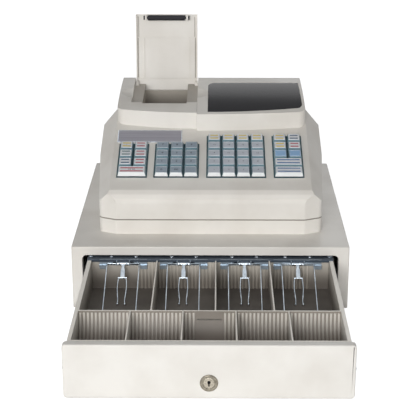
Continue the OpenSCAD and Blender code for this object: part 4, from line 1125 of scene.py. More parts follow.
@dataclass
class Drawer:
    """The drawer's front, its pan and the lock.

    Attributes:
        front_y: Where the drawer's front face is.
        edge: Radius of the front's outer edge.
        lock_z: Height of the lock's middle.
        bezel_radius: Outer radius of the lock's bezel.
        bezel_out: How far the bezel stands out.
        plug_set_back: How far the plug lies behind the bezel's face.
        lock_clear: Edges of the front nearer to the lock's axis than this stay as they are.
        front_thick: Thickness of the front.
        pan_top: Height of the pan's rim.
        slot_reach: The key slot's faces are nearer to the lock's axis than this.
        slot_depth: How far behind the plug's face they reach.
    """

    front_y: float = -298.0
    edge: float = 2.2
    lock_z: float = 33.0
    bezel_radius: float = 11.65
    bezel_out: float = 1.8
    plug_set_back: float = 0.4
    lock_clear: float = 20.0
    front_thick: float = 12.0
    pan_top: float = 75.3
    slot_reach: float = 4.6
    slot_depth: float = 8.0

    def build(self) -> None:
        """Makes and dresses the drawer's pieces."""
        self.make_front()
        self.make_pan()
        self.make_barrel()
        self.make_plug()

    def from_lock(self, v: Vector) -> float:
        """Distance of a place from the lock's axis.

        Args:
            v: The place in millimetres.

        Returns:
            The distance in millimetres.
        """
        return math.hypot(v.x, v.z - self.lock_z)

    def make_front(self) -> None:
        """Rounds the front's outer edge and softens the back edge."""
        front = cad_copy("drawer_front", "drawer_face")
        rear_y = self.front_y + self.front_thick - 0.1
        round_edges(front, self.edge, 5, lambda a, b, fold: fold > 60 and max(a.y, b.y) < self.front_y + NEAR
                    and min(self.from_lock(a), self.from_lock(b)) > self.lock_clear)
        round_edges(front, 0.8, 3, lambda a, b, fold: fold > 60 and min(a.y, b.y) > rear_y
                    and min(self.from_lock(a), self.from_lock(b)) > self.lock_clear)
        smooth(front)
        dress(front, "drawer", "case_plastic", [FRONT], "drawer_front")

    def make_pan(self) -> None:
        """Rounds the rim of the pan."""
        pan = cad_copy("drawer_pan", "drawer_tub")
        round_edges(pan, 0.35, 2, lambda a, b, fold: fold > 60 and min(a.z, b.z) > self.pan_top - NEAR
                    and (b - a).length > 20)
        smooth(pan)
        dress(pan, "drawer", "zinc_steel", [PAN], "drawer_pan")

    def make_barrel(self) -> None:
        """Domes the lock's bezel and sinks a ring in it."""
        barrel = cad_copy("lock_barrel", "lock_bezel")
        face = self.front_y - self.bezel_out
        round_edges(barrel, 1.0, 4, lambda a, b, fold: fold > 60 and max(a.y, b.y) < face + NEAR
                    and min(self.from_lock(a), self.from_lock(b)) > self.bezel_radius - 0.3)
        round_edges(barrel, 0.35, 2, lambda a, b, fold: fold > 60 and max(a.y, b.y) < face + NEAR
                    and max(self.from_lock(a), self.from_lock(b)) < self.bezel_radius - 2.5)
        smooth(barrel, 45)
        dress(barrel, "drawer", "nickel", [BEZEL], "lock_barrel")

    def make_plug(self) -> None:
        """Rounds the plug's face and paints the inside of the key slot black as painted shade."""
        plug = cad_copy("lock_plug", "lock_plug_face")
        face = self.front_y - self.bezel_out + self.plug_set_back
        round_edges(plug, 0.4, 2, lambda a, b, fold: fold > 60 and max(a.y, b.y) < face + NEAR
                    and min(self.from_lock(a), self.from_lock(b)) > 7)
        smooth(plug, 45)
        dress(plug, "lock_plug", "nickel", [NICKEL, BLACK_AND_SHADE], "lock_plug")
        # The inside of the key slot gets the black finish as painted shade.
        paint(plug, 1, lambda c, n: self.from_lock(c) < self.slot_reach
              and face + NEAR < c.y < face + self.slot_depth)


@dataclass
class MoneyTray:
    """The tray with five scooped coin cups and four note compartments.

    Attributes:
        half_w: Half the width of the tray.
        low: Height of the tray's underside.
        top: Height of its rim.
        front: Where its front wall is.
        back: Where its back wall ends.
        wall: Thickness of the walls.
        cup_half_w: Half the width of the hollow.
        cup_back: Where the coin cups end.
        note_front: Where the note compartments start.
        note_back: Where they end.
        note_floor: Height of their floor.
        scoop: Radius of the scooped cups.
        scoop_z: Height of the scoop's axis.
        cup_pitch: Distance from cup to cup.
        flute: Thickness of the flutes on the cups' back wall.
        flute_pitch: Distance from flute to flute.
        flute_top: Height at which the flutes start.
        note_rib: Thickness of the ribs on the note compartments' back wall.
        note_rib_pitch: Distance from rib to rib.
        note_dividers: Places of the note dividers.
        half_divider: Half the thickness of every divider.
        slot: Height range of the slot behind the middle cup.
        slot_half_w: Half its width.
    """

    half_w: float = 180.0
    low: float = 12.3
    top: float = 85.0
    front: float = -284.7
    back: float = -5.9
    wall: float = 2.4
    cup_half_w: float = 175.0
    cup_back: float = -191.7
    note_front: float = -189.3
    note_back: float = -8.3
    note_floor: float = 40.0
    scoop: float = 40.0
    scoop_z: float = 81.0
    cup_pitch: float = 70.44
    flute: float = 3.4
    flute_pitch: float = 5.25
    flute_top: float = 82.4
    note_rib: float = 3.6
    note_rib_pitch: float = 5.3
    note_dividers: tuple[float, ...] = (-78.0, 8.0, 86.5)
    half_divider: float = 0.9
    slot: tuple[float, float] = (71.6, 73.6)
    slot_half_w: float = 16.5

    def build(self) -> None:
        """Makes and dresses the tray and its dividers."""
        self.make_tray()
        self.make_flutes()
        self.make_note_ribs()

    def make_tray(self) -> None:
        """Cuts the cups and compartments out of a block and rounds the rims."""
        tray = block("tray_body", (-self.half_w, self.front, self.low), (self.half_w, self.back, self.top))
        for cup in range(-2, 3):
            combine(tray, self.cup_shape(cup * self.cup_pitch), "DIFFERENCE")
        sides = (-self.cup_half_w, *self.note_dividers, self.cup_half_w)
        for left, right in zip(sides, sides[1:]):
            combine(tray, self.note_shape(left, right), "DIFFERENCE")
        rim = self.top - NEAR
        round_edges(tray, 0.7, 3, lambda a, b, fold: fold > 40 and min(a.z, b.z) > rim)
        self.cut_slot(tray)
        smooth(tray)
        dress(tray, "drawer", "tray_plastic", [TRAY, TRAY_FLOOR_SHADE, CUP_SHADE, NOTE_WALL_SHADE, RIM_HIGHLIGHT], "money_tray",
              "coin_dividers", "bill_dividers")
        under_rim, cup_front = self.top - 1.5, self.front + self.wall
        # The rim tops get the painted highlight.
        paint(tray, 4, lambda c, n: c.z > self.top - 0.8)
        # The walls and floors of the note compartments and the walls of the coin cups get painted shade.
        paint(tray, 3, lambda c, n: self.note_front - 0.1 < c.y < self.note_back + 0.3 and c.z < under_rim
              and abs(c.x) < self.cup_half_w + 0.1)
        paint(tray, 1, lambda c, n: n.z > 0.9 and abs(c.z - self.note_floor) < 0.2)
        paint(tray, 2, lambda c, n: cup_front - 0.1 < c.y < self.cup_back + 0.1 and c.z < under_rim
              and abs(n.x) < 0.5 and abs(c.x) < self.cup_half_w)

    def cup_shape(self, middle: float) -> Piece:
        """The hollow of one coin cup, with a scooped bottom.

        Args:
            middle: Middle of the cup along the tray.

        Returns:
            The hollow as a closed shape.
        """
        half = self.cup_pitch / 2 - self.half_divider
        left = max(middle - half, -self.cup_half_w)
        right = min(middle + half, self.cup_half_w)
        y0, y1 = self.front + self.wall, self.cup_back
        shape = block("cup_hollow", (left, y0, self.scoop_z - 1), (right, y1, self.top + 2))
        for y in (y0 + self.scoop, y1 - self.scoop):
            bow = rod("cup_bow", (left, y, self.scoop_z), (right, y, self.scoop_z), 2 * self.scoop, 96)
            combine(shape, bow, "UNION")
        flat = block("cup_flat", (left, y0 + self.scoop, self.scoop_z - self.scoop),
                     (right, y1 - self.scoop, self.scoop_z))
        combine(shape, flat, "UNION")
        return shape

    def note_shape(self, left: float, right: float) -> Piece:
        """The hollow of one note compartment, with rounded upright corners.

        Args:
            left: Left side of the compartment.
            right: Right side.

        Returns:
            The hollow as a closed shape.
        """
        shape = block("note_hollow", (left + self.half_divider, self.note_front, self.note_floor),
                      (right - self.half_divider, self.note_back, self.top + 2))
        round_edges(shape, 2.5, 4, lambda a, b, fold: fold > 60 and abs(a.z - b.z) > 20)
        round_edges(shape, 1.2, 2, lambda a, b, fold: fold > 60 and max(a.z, b.z) < self.note_floor + NEAR)
        return shape

    def make_note_ribs(self) -> None:
        """Stands the ribs on the back wall of the note compartments."""
        y = self.note_back + 0.5
        first = rod("note_rib", (0, y, self.note_floor), (0, y, self.top - 2.5), self.note_rib, 12)
        places = [j * self.note_rib_pitch for j in range(-20, 28)]
        places = [x for x in places if min(abs(x - d) for d in self.note_dividers) > 3.5]
        ribs = [twin(first, "note_rib", Matrix.Translation((x * MM, 0, 0))) for x in places]
        bpy.data.objects.remove(first)
        piece = join("note_ribs", ribs)
        smooth(piece, 50, weighted=False)
        # The ribs get a shaded copy of the tray plastic: painted shade.
        dress(piece, "drawer", "tray_plastic", [NOTE_RIB_SHADE])

    def cut_slot(self, tray: Piece) -> None:
        """Cuts the slot behind the middle cup.

        Args:
            tray: The tray.
        """
        low, high = self.slot
        combine(tray, block("coin_slot", (-self.slot_half_w, self.cup_back - 3, low),
                            (self.slot_half_w, self.note_front + 3, high)), "DIFFERENCE")

    def make_flutes(self) -> None:
        """Bends the flutes that run down the cups' back wall and along the scoop."""
        axis_y = self.cup_back - self.scoop
        reach = self.scoop - 0.2
        path = [(0.0, axis_y + reach, self.flute_top)]
        for k in range(10):
            t = math.radians(-90 * k / 9)
            path.append((0.0, axis_y + reach * math.cos(t), self.scoop_z + reach * math.sin(t)))
        first = wire("flute", path, self.flute)
        flutes = []
        for cup in range(-2, 3):
            for j in range(-6, 7):
                x = cup * self.cup_pitch + j * self.flute_pitch
                beside_slot = cup != 0 or abs(x) >= self.slot_half_w + 1.5
                within = abs(j * self.flute_pitch) < self.cup_pitch / 2 - 2 and abs(x) < self.cup_half_w - 2
                if beside_slot and within:
                    flutes.append(twin(first, "flute", Matrix.Translation((x * MM, 0, 0))))
        bpy.data.objects.remove(first)
        piece = join("cup_flutes", flutes)
        smooth(piece, 50, weighted=False)
        # The flutes darken towards the bottom of the cups: painted shade.
        dress(piece, "drawer", "tray_plastic", [FLUTE])


@dataclass
class ClipBar:
    """The bar over the note compartments, its brackets and the sprung clips.

    Attributes:
        clips: Middle of each clip along the bar.
        pivot_y: Where the clips turn.
        pivot_z: Height of the clips' pins.
        bar_top: Height of the bar's top.
        lip_y: Where the bar's folded front lip ends.
        lip_half_w: Half the length of the lip.
        rivet_y: Where the rivets stand, across the bar.
        rivet_x: How far each rivet stands beside its clip's middle.
        screw_x: How far the two screws stand from the bar's middle.
        screw_y: Where the screws stand, across the bar.
        bracket_low: Height of the brackets' lower edge.
        gap_half_w: Half the width of the cut-out in each bracket.
        gap_flare: How much wider the cut-out is at its foot, on each side.
        hub: Diameter of the hub that the spring is wound on.
        hub_half_w: Half its length.
        droop: How far the fingers point down, in degrees.
        side_droop: How far the long side wires point down.
        shank: Length of the shank.
        finger: How far the fingers reach.
        finger_gap: Distance between the fingers.
        side_gap: Distance between the side wires.
        side_reach: How far the side wires reach.
        thick: Thickness of the wires.
    """

    clips: tuple[float, ...] = (-127.6, -39.0, 50.0, 128.0)
    pivot_y: float = -12.9
    pivot_z: float = 80.5
    bar_top: float = 86.3
    lip_y: float = -10.4
    lip_half_w: float = 179.5
    rivet_y: float = -0.3
    rivet_x: float = 18.0
    screw_x: float = 176.0
    screw_y: float = 3.1
    bracket_low: float = 77.1
    gap_half_w: float = 8.7
    gap_flare: float = 3.3
    hub: float = 4.4
    hub_half_w: float = 8.4
    droop: float = 33.0
    side_droop: float = 20.0
    shank: float = 25.0
    finger: float = 70.0
    finger_gap: float = 10.8
    side_gap: float = 47.0
    side_reach: float = 104.0
    thick: float = 1.6

    def build(self) -> None:
        """Makes and dresses the bar, the brackets and the clips."""
        self.make_bar()
        self.make_brackets()
        for number, x in enumerate(self.clips, 1):
            self.make_clip(number, x)

    def make_bar(self) -> None:
        """Softens the bar and rings its rivets and screws."""
        bar = cad_copy("clip_bar", "bar_strip")
        round_edges(bar, 0.3, 2, lambda a, b, fold: fold > 60 and min(a.z, b.z) > self.bar_top - NEAR
                    and (b - a).length > 10)
        smooth(bar)
        rings = [self.ring(x, self.screw_y, 3.2, self.bar_top + 0.6) for x in (-self.screw_x, self.screw_x)]
        rings += [self.ring(x + dx, self.rivet_y, 2.2, self.bar_top + 0.7)
                  for x in self.clips for dx in (-self.rivet_x, self.rivet_x)]
        lip = block("bar_lip", (-self.lip_half_w, self.lip_y - 0.9, self.bar_top - 3.9),
                    (self.lip_half_w, self.lip_y, self.bar_top))
        round_edges(lip, 0.3, 2)
        smooth(lip)
        dress(lip, "drawer", "dark_zinc", [DARK_ZINC])
        dress(bar, "drawer", "dark_zinc", [DARK_ZINC], "clip_bar")
        dress(join("bar_rings", rings), "drawer", "bright_zinc", [BRIGHT_ZINC])

    def ring(self, x: float, y: float, radius: float, z: float) -> Piece:
        """A bright pressed ring round a rivet or a screw.

        Args:
            x: Place along the bar.
            y: Place across it.
            radius: Middle radius of the ring.
            z: Height of the ring's middle.

        Returns:
            The ring.
        """
        clear_selection()
        bpy.ops.mesh.primitive_torus_add(major_segments=28, minor_segments=8, major_radius=radius * MM,
                                         minor_radius=0.55 * MM, location=spot(x, y, z))
        ring = settle("bar_ring")
        smooth(ring, 60, weighted=False)
        return ring

    def make_brackets(self) -> None:
        """Flares the cut-outs of the brackets and softens their edges."""
        piece = cad_copy("clip_brackets", "brackets")
        for x in self.clips:
            for side in (-1, 1):
                place = x + side * self.gap_half_w
                with editing(piece, Pick.EDGES, lambda a, b, fold: max(a.z, b.z) < self.bracket_low + 0.1
                             and max(abs(a.x - place), abs(b.x - place)) < 0.1):
                    bpy.ops.transform.translate(value=(side * self.gap_flare * MM, 0, 0))
        smooth(piece)
        dress(piece, "drawer", "bright_zinc", [BRACKET], "clip_brackets")

    def along(self, reach: float, droop: float, x: float, lift: float = 0.0) -> Point:
        """A place on a clip that points down from its pin.

        Args:
            reach: Distance from the pin.
            droop: How far it points down, in degrees.
            x: Place along the bar.
            lift: Distance over the clip's plane.

        Returns:
            The place in millimetres.
        """
        t = math.radians(droop)
        return (x, self.pivot_y - reach * math.cos(t) - lift * math.sin(t),
                self.pivot_z - reach * math.sin(t) + lift * math.cos(t))

    def make_clip(self, number: int, x: float) -> None:
        """Bends one clip from its hub, shank, fingers and side wires.

        Args:
            number: The clip's number, from the left.
            x: Middle of the clip.
        """
        parts = [rod("clip_hub", (x - self.hub_half_w, self.pivot_y, self.pivot_z),
                     (x + self.hub_half_w, self.pivot_y, self.pivot_z), self.hub, 20)]
        parts += self.coil_rings(x)
        parts.append(self.shank_plate(x))
        half = self.finger_gap / 2
        parts.append(rod("crossbar", self.along(self.shank, self.droop, x - half - 0.8),
                         self.along(self.shank, self.droop, x + half + 0.8), 2.2, 14))
        for side in (-1, 1):
            lane = x + side * half
            # Reach from the pin, distance outwards from the lane, lift over the clip's plane
            steps = [(self.shank, 0.0, 0.0), (self.shank + 9, 0.9, 0.4), (self.shank + 20, 1.2, 0.5),
                     (self.finger - 14, 0.2, 0.3), (self.finger - 5, -0.3, -0.1), (self.finger, 0.0, 0.0)]
            route = [self.along(reach, self.droop, lane + side * out, up) for reach, out, up in steps]
            parts.append(wire("finger", route, self.thick))
            parts.append(ball("finger_tip", self.along(self.finger, self.droop, lane), 3.0))
        parts.append(self.side_wire(x))
        for side in (-1, 1):
            tip = self.along(self.side_reach, self.side_droop, x + side * self.side_gap / 2)
            parts.append(ball("side_tip", tip, 2.2, 6))
        clip = join(f"note_clip_{number}", parts)
        smooth(clip, 45, weighted=False)
        dress(clip, f"bill_clip_{number}", "bright_zinc", [CLIP_WIRE], f"bill_clip_{number}")

    def coil_rings(self, x: float) -> list[Piece]:
        """The turns of the torsion spring wound on the hub.

        Args:
            x: Middle of the clip.

        Returns:
            The turns.
        """
        turns = []
        for side in (-1, 1):
            for k in range(3):
                clear_selection()
                bpy.ops.mesh.primitive_torus_add(
                    major_segments=20, minor_segments=6, major_radius=2.3 * MM, minor_radius=0.35 * MM,
                    location=spot(x + side * (4.6 + 0.8 * k), self.pivot_y, self.pivot_z),
                    rotation=(0, math.pi / 2, 0))
                turns.append(settle("spring_turn"))
        return turns

    def shank_plate(self, x: float) -> Piece:
        """The flat shank, waisted under the hub.

        Args:
            x: Middle of the clip.

        Returns:
            The shank.
        """
        clear_selection()
        bpy.ops.mesh.primitive_cube_add(size=1, location=(0, -self.shank / 2 * MM, 0),
                                        scale=(6 * MM, self.shank * MM, 1.6 * MM))
        plate = settle("shank")
        with editing(plate, Pick.EDGES, None):
            bpy.ops.mesh.subdivide(number_cuts=3)
        waist_y = -self.shank * MM / 4
        for point in plate.data.vertices:
            if abs(point.co.y - waist_y) < 0.5 * MM:
                point.co.x *= 0.6
        round_edges(plate, 0.3, 2, lambda a, b, fold: fold > 60)
        place = spot(x, self.pivot_y, self.pivot_z)
        plate.data.transform(Matrix.Translation(place) @ Matrix.Rotation(math.radians(self.droop), 4, "X"))
        return plate

    def side_wire(self, x: float) -> Piece:
        """The long wire that is bent round both sides of the clip.

        Args:
            x: Middle of the clip.

        Returns:
            The wire.
        """
        half, turn = self.side_gap / 2, 1.4
        right = [(self.side_reach, half), (self.side_reach * 0.5, half), (turn, half),
                 (0.3 * turn, half - 0.3 * turn), (0.0, half - turn)]
        route = right + [(r, -s) for r, s in reversed(right)]
        return wire("side_wire", [self.along(r, self.side_droop, x + s) for r, s in route], self.thick)


# ---------------------------------------------------------------- register case


@dataclass
class RegisterCase:
    """The lower and upper case, the rear panel and what is inside them.

    Attributes:
        part_z: Height of the line between the two halves.
        corner: The front's corner edges, to the side and behind the cabinet's front.
        deck_half_w: Half the width of the keyboard deck.
        back_end: Where the case ends.
        seam: Width of the bevel at the parting line.
        nose: The front's soft folds, behind the cabinet's front and over the counter.
        nose_half_w: Half the width of the flat front.
        bow: How far the front face leans back at its top.
        bow_steps: Into how many strips the front face is cut to bow it.
        corner_round: Radius of the front's corners.
        nose_round: Radius of the soft folds.
        shoulder_round: Radius of the edge between the case's side and top.
        shoulder: The lowest place of that edge, and where it ends at the back.
        deck_round: Radius of the deck's side edges.
        well_round: Radius of the rims of the key wells.
        sockets: Middle of each socket that has pins.
        pins: Places of the pins in a socket, across it.
        sharp: Folds over this many degrees stay sharp.
    """

    part_z: float = 124.5
    corner: tuple[float, float] = (168.0, 67.0)
    deck_half_w: float = 152.5
    back_end: float = 400.0
    seam: float = 1.0
    nose: tuple[tuple[float, float], ...] = ((55.0, 150.0), (56.4, 156.8), (60.0, 163.1), (66.0, 168.3))
    nose_half_w: float = 142.0
    bow: float = 1.3
    bow_steps: int = 5
    corner_round: float = 6.0
    nose_round: float = 2.8
    shoulder_round: float = 7.0
    shoulder: tuple[float, float] = (150.0, 283.0)
    deck_round: float = 3.5
    well_round: float = 0.5
    sockets: tuple[float, ...] = (-50.0, -28.0, -6.0)
    pins: tuple[float, ...] = (-4.0, -2.0, 0.0, 2.0, 4.0)
    sharp: float = 13.0

    def build(self) -> None:
        """Makes and dresses the case."""
        self.make_cover()
        self.make_lower()
        self.make_rear_panel()
        for node, finish in (("case_screws", STEEL), ("power_supply", MOTOR), ("main_board", BOARD),
                             ("keyboard_board", BOARD)):
            dress_node(node, finish)

    def deck_height(self, v: Vector) -> float:
        """How far a place lies over the keyboard deck.

        Args:
            v: The place in millimetres.

        Returns:
            The distance square to the deck.
        """
        return (v.z - DECK_FOOT[2]) * math.cos(DECK_SLOPE) - (v.y - DECK_FOOT[1]) * math.sin(DECK_SLOPE)

    def on_nose(self, v: Vector) -> bool:
        """Whether a place lies on one of the soft folds of the case's front."""
        if abs(abs(v.x) - self.nose_half_w) < 0.3 and abs(v.y - self.nose[0][0]) < 0.3:
            return True
        return any(abs(v.y - y) < 0.3 and abs(v.z - z) < 0.3 for y, z in self.nose)

    def on_seam(self, v: Vector) -> bool:
        """Whether a place lies on the outer edge of the parting line."""
        return abs(v.z - self.part_z) < NEAR and (abs(v.x) > 140 or v.y < 57 or v.y > self.back_end - 0.1)

    def on_well(self, v: Vector) -> bool:
        """Whether a place lies on the rim of a key well."""
        return abs(self.deck_height(v)) < NEAR and abs(v.x) < 150 and 70 < v.y < 200

    def round_front(self, half: Piece) -> None:
        """Rounds the corners and the soft folds of the case's front.

        Args:
            half: The upper or the lower case.
        """
        x0, y0 = self.corner
        round_edges(half, self.corner_round, 5, lambda a, b, fold: fold > 30 and all(
            abs(abs(v.x) - x0) < 0.3 and abs(v.y - y0) < 0.3 for v in (a, b)))
        round_edges(half, self.nose_round, 4, lambda a, b, fold: 4 < fold < 30
                    and self.on_nose(a) and self.on_nose(b))

    def close_half(self, half: Piece, node: str, up: int) -> None:
        """Bevels a half's edge at the parting line, dresses it and darkens the bevel.

        Args:
            half: The upper or the lower case.
            node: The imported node.
            up: 1 for the upper half and -1 for the lower.
        """
        round_edges(half, self.seam, 2, lambda a, b, fold: fold > 60 and self.on_seam(a) and self.on_seam(b))
        smooth(half, self.sharp)
        dress(half, "root", "case_plastic", [CASE, SEAM], node)
        paint(half, 1, lambda c, n: NEAR < up * (c.z - self.part_z) < self.seam and up * n.z < -0.2)

    def make_cover(self) -> None:
        """Rounds the corners, the deck's side edges and the rims of the key wells."""
        cover = cad_copy("register_cover", "upper_case")
        low, back = self.shoulder
        self.round_front(cover)
        round_edges(cover, self.shoulder_round, 6, lambda a, b, fold: 30 < fold < 50
                    and min(abs(a.x), abs(b.x)) > self.corner[0] - 0.3
                    and min(a.z, b.z) > low and max(a.y, b.y) < back)
        round_edges(cover, self.deck_round, 4, lambda a, b, fold: fold > 20 and all(
            abs(self.deck_height(v)) < 0.3 and abs(abs(v.x) - self.deck_half_w) < 0.5 for v in (a, b)))
        self.crown_front(cover)
        round_edges(cover, self.well_round, 2, lambda a, b, fold: fold > 60
                    and self.on_well(a) and self.on_well(b))
        self.close_half(cover, "register_cover", 1)

    def crown_front(self, cover: Piece) -> None:
        """Bows the front face back towards its top, so that it runs softly into the nose.

        Args:
            cover: The upper case.
        """
        first, last = self.part_z + 4, self.nose[0][1] - 3
        for k in range(self.bow_steps):
            z = first + (last - first) * k / (self.bow_steps - 1)
            with editing(cover, Pick.FACES, lambda c, n: n.y < -0.3 and c.y < 75
                         and c.z < self.nose[0][1] + 2):
                bpy.ops.mesh.bisect(plane_co=spot(0, 0, z), plane_no=(0, 0, 1))
        low = self.part_z + self.seam
        for point in cover.data.vertices:
            place = millimetres(point.co)
            if place.y < 57.9 and abs(place.x) < self.nose_half_w + 6 and low < place.z < self.nose[1][1]:
                share = min((place.z - low) / (self.nose[0][1] - low), 1.0)
                point.co.y += self.bow * share ** 2 * MM

    def make_lower(self) -> None:
        """Rounds the lower half's corners and its edge at the parting line."""
        lower = cad_copy("register_base", "lower_case")
        self.round_front(lower)
        self.close_half(lower, "register_base", -1)

    def make_rear_panel(self) -> None:
        """Softens the rear panel and puts brass pins in its sockets."""
        panel = cad_copy("rear_panel", "socket_panel")
        round_edges(panel, 0.4, 2, lambda a, b, fold: fold > 60 and min(a.y, b.y) > self.back_end - 1)
        smooth(panel)
        dress(panel, "root", "panel_plastic", [PANEL, SOCKET], "rear_panel")
        paint(panel, 1, lambda c, n: c.y < self.back_end - 2.6)
        pins = [rod("socket_pin", (x + dx, self.back_end - 9, z), (x + dx, self.back_end - 3, z), 0.8, 8)
                for x in self.sockets for dx in self.pins
                for z in (self.part_z + 5.6, self.part_z + 8)]
        brass = join("socket_pins", pins)
        smooth(brass, 45, weighted=False)
        dress(brass, "root", "bare_steel", [BRASS])


# ---------------------------------------------------------------- keyboard


@dataclass(frozen=True)
class Legend:
    """What one key shows.

    Attributes:
        top: The tint of the key's top.
        bar: The colour of its two bars, or none.
        text: Small characters in the middle.
        height: Height of the characters in millimetres.
    """

    top: Label = Label.GOODS
    bar: Label | None = None
    text: str = ""
    height: float = 3.4


@dataclass
class Keyboard:
    """Four wells of keys with their caps, and the bare plate above them.

    Attributes:
        groups: Left side of each group of keys.
        pitch: Distance from column to column.
        row_pitch: Distance from row to row.
        first_row: Middle of the lowest row, up the deck.
        width: Width of a cap at its foot.
        depth: Depth of a cap at its foot.
        low: Lower edge of a cap over the deck.
        high: Top of a cap over the deck.
        taper: How much narrower the top is.
        top_front: The top's front edge, before the cap's middle.
        top_back: The top's back edge, behind the cap's middle.
        stem_low: Lower end of a key's stem.
        stem: Diameter of the stem.
        bars_apart: How far the two bars lie before and behind the label's middle.
        bar_depth: Depth of each bar.
        bar_inset: How much narrower a bar is than the label.
    """

    groups: tuple[float, ...] = (-143.0, -86.5, -6.0, 97.0)
    pitch: float = 22.4
    row_pitch: float = 22.288
    first_row: float = 43.344
    width: float = 20.6
    depth: float = 20.6
    low: float = 1.3
    high: float = 8.0
    taper: float = 3.6
    top_front: float = -9.3
    top_back: float = 6.7
    stem_low: float = -5.3
    stem: float = 7.0
    bars_apart: tuple[float, float] = (-4.1, 3.9)
    bar_depth: float = 2.5
    bar_inset: float = 4.6

    def build(self) -> None:
        """Makes and dresses the wells, the keys and the plate."""
        dress_node("keyboard_frame", WELL)
        for node, column in self.columns().items():
            self.make_keys(node, column)
        self.make_plate()

    def columns(self) -> dict[str, list[tuple[float, int, bool, Legend]]]:
        """Lists the keys of each node.

        Returns:
            For each node its keys: place across, row, whether it is wide, and its legend.
        """
        g = [[x + (c + 0.5) * self.pitch for c in range(4)] for x in self.groups]
        wide = [x + self.pitch for x in self.groups]
        plan: dict[str, list[tuple[float, int, bool, Legend]]] = {
            "keys_left_1": [(g[0][0], r, False, Legend(Label.PLAIN, bar, mark)) for r, bar, mark in
                            ((1, Label.TEAL, ""), (2, Label.GREEN, ""), (3, Label.YELLOW, "1"))],
            "keys_left_2": [(g[0][1], r, False, Legend(Label.PLAIN, Label.RED)) for r in (1, 2, 3)],
            "key_left_wide": [(wide[0], 0, True, Legend(Label.PLAIN, Label.RED, "00 00"))],
            "key_total": [(wide[3], 0, True, Legend(Label.PLAIN, Label.BLUE))],
            "key_subtotal": [(wide[3], 1, True, Legend(Label.PLAIN, Label.BLUE))],
            "keys_right_1": [(g[3][0], 4, False, Legend(Label.PLAIN, Label.YELLOW)),
                             (g[3][0], 3, False, Legend(Label.PLAIN, Label.YELLOW)),
                             (g[3][0], 2, False, Legend(Label.SKY))],
            "keys_right_2": [(g[3][1], 4, False, Legend(Label.PLAIN, Label.TEAL)),
                             (g[3][1], 3, False, Legend(Label.PLAIN, Label.RED)),
                             (g[3][1], 2, False, Legend(Label.SKY))],
        }
        for c, names in enumerate((("0", "1", "4", "7"), ("00", "2", "5", "8"), ("", "3", "6", "9"))):
            plan[f"keys_number_{c + 1}"] = [(g[1][c], r, False, Legend(Label.NUMBER, None, text, 4.6))
                                            for r, text in enumerate(names)]
        for c in range(4):
            plan[f"keys_goods_{c + 1}"] = [
                (g[2][c], r, False, Legend(Label.PLAIN, Label.YELLOW) if r == 4
                 else Legend(Label.GOODS, None, str(c + 4 * r + 1), 3.0)) for r in range(5)]
        return plan

    def make_keys(self, node: str, column: list[tuple[float, int, bool, Legend]]) -> None:
        """Makes the keys of one node as one piece.

        Args:
            node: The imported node.
            column: Its keys.
        """
        finishes: list[Finish] = [CAP, CAP_SHADE, INK]
        for _, _, _, legend in column:
            for label in (legend.top, legend.bar):
                if label is not None and label.value not in finishes:
                    finishes.append(label.value)
        parts = []
        for x, row, wide, legend in column:
            parts += self.one_key(x, row, wide, legend, finishes)
        keys = join(node.replace("key", "cap", 1), parts)
        smooth(keys, 40)
        kind = next((kind for kind in ("number", "goods") if kind in node), "function")
        dress(keys, node, f"{kind}_key", finishes, node)

    def one_key(self, x: float, row: int, wide: bool, legend: Legend, finishes: list[Finish]) -> list[Piece]:
        """Shapes one cap with its sunk label, its bars and its characters.

        Args:
            x: Place across the deck.
            row: Row, counted from the lowest.
            wide: Whether the key is two places wide.
            legend: What it shows.
            finishes: The finishes of the node's slots.

        Returns:
            The key's parts in place.
        """
        w = self.width + (self.pitch if wide else 0)
        y = self.first_row + row * self.row_pitch
        cap = self.cap(w)
        for face in cap.data.polygons:
            face.material_index = self.cap_slot(face, finishes.index(legend.top.value), row == 0)
        origin_y = -CABINET_FRONT / MM
        parts = [cap, rod("stem", (0, origin_y, self.stem_low), (0, origin_y, self.low), self.stem, 16)]
        if legend.bar is not None:
            parts += self.bars(w, finishes.index(legend.bar.value))
        if legend.text:
            parts.append(self.mark(legend, finishes.index(INK)))
        move = deck_matrix() @ Matrix.Translation((x * MM, y * MM, 0))
        for part in parts:
            part.data.transform(move)
            fill_slots(part, finishes)
        return parts

    def top_middle(self) -> float:
        """Middle of a cap's top, behind the cap's middle."""
        return (self.top_front + self.top_back) / 2

    def cap(self, w: float) -> Piece:
        """One cap at the origin: tapered, rounded, and with its label sunk a little.

        Args:
            w: Width of the cap.

        Returns:
            The cap.
        """
        clear_selection()
        height = self.high - self.low
        bpy.ops.mesh.primitive_cube_add(size=1, location=(0, 0, (self.low + height / 2) * MM),
                                        scale=(w * MM, self.depth * MM, height * MM))
        cap = settle("cap")
        cap_top = self.high - 0.1
        with editing(cap, Pick.FACES, lambda c, n: n.z > 0.9 and c.z > cap_top):
            shorter = (self.top_back - self.top_front) / self.depth
            bpy.ops.transform.resize(value=((w - self.taper) / w, shorter, 1))
            bpy.ops.transform.translate(value=(0, self.top_middle() * MM, 0))
        round_edges(cap, 0.7, 3, lambda a, b, fold: fold > 30 and max(a.z, b.z) > self.high - 0.5)
        with editing(cap, Pick.FACES, lambda c, n: n.z > 0.99 and c.z > cap_top):
            bpy.ops.mesh.inset(thickness=0.2 * MM)
            bpy.ops.mesh.inset(thickness=0.15 * MM, depth=-0.2 * MM)
        return cap

    def cap_slot(self, face: bpy.types.MeshPolygon, label: int, lowest: bool) -> int:
        """Which finish a face of the cap has; sides, backs and the fronts above the lowest row get painted
        shade.

        Args:
            face: The face.
            label: The slot of the label.
            lowest: Whether the key is in the lowest row, whose fronts stand free and are not painted in
                shade.

        Returns:
            The slot's number.
        """
        if face.normal.z > 0.75:
            return label
        # Sides, backs and the fronts of the higher rows get the painted shade.
        beside = abs(face.normal.x) > 0.8 or face.normal.y > 0.5 or (face.normal.y < -0.5 and not lowest)
        if beside and face.center.z < (self.high - 0.9) * MM:
            return 1
        return 0

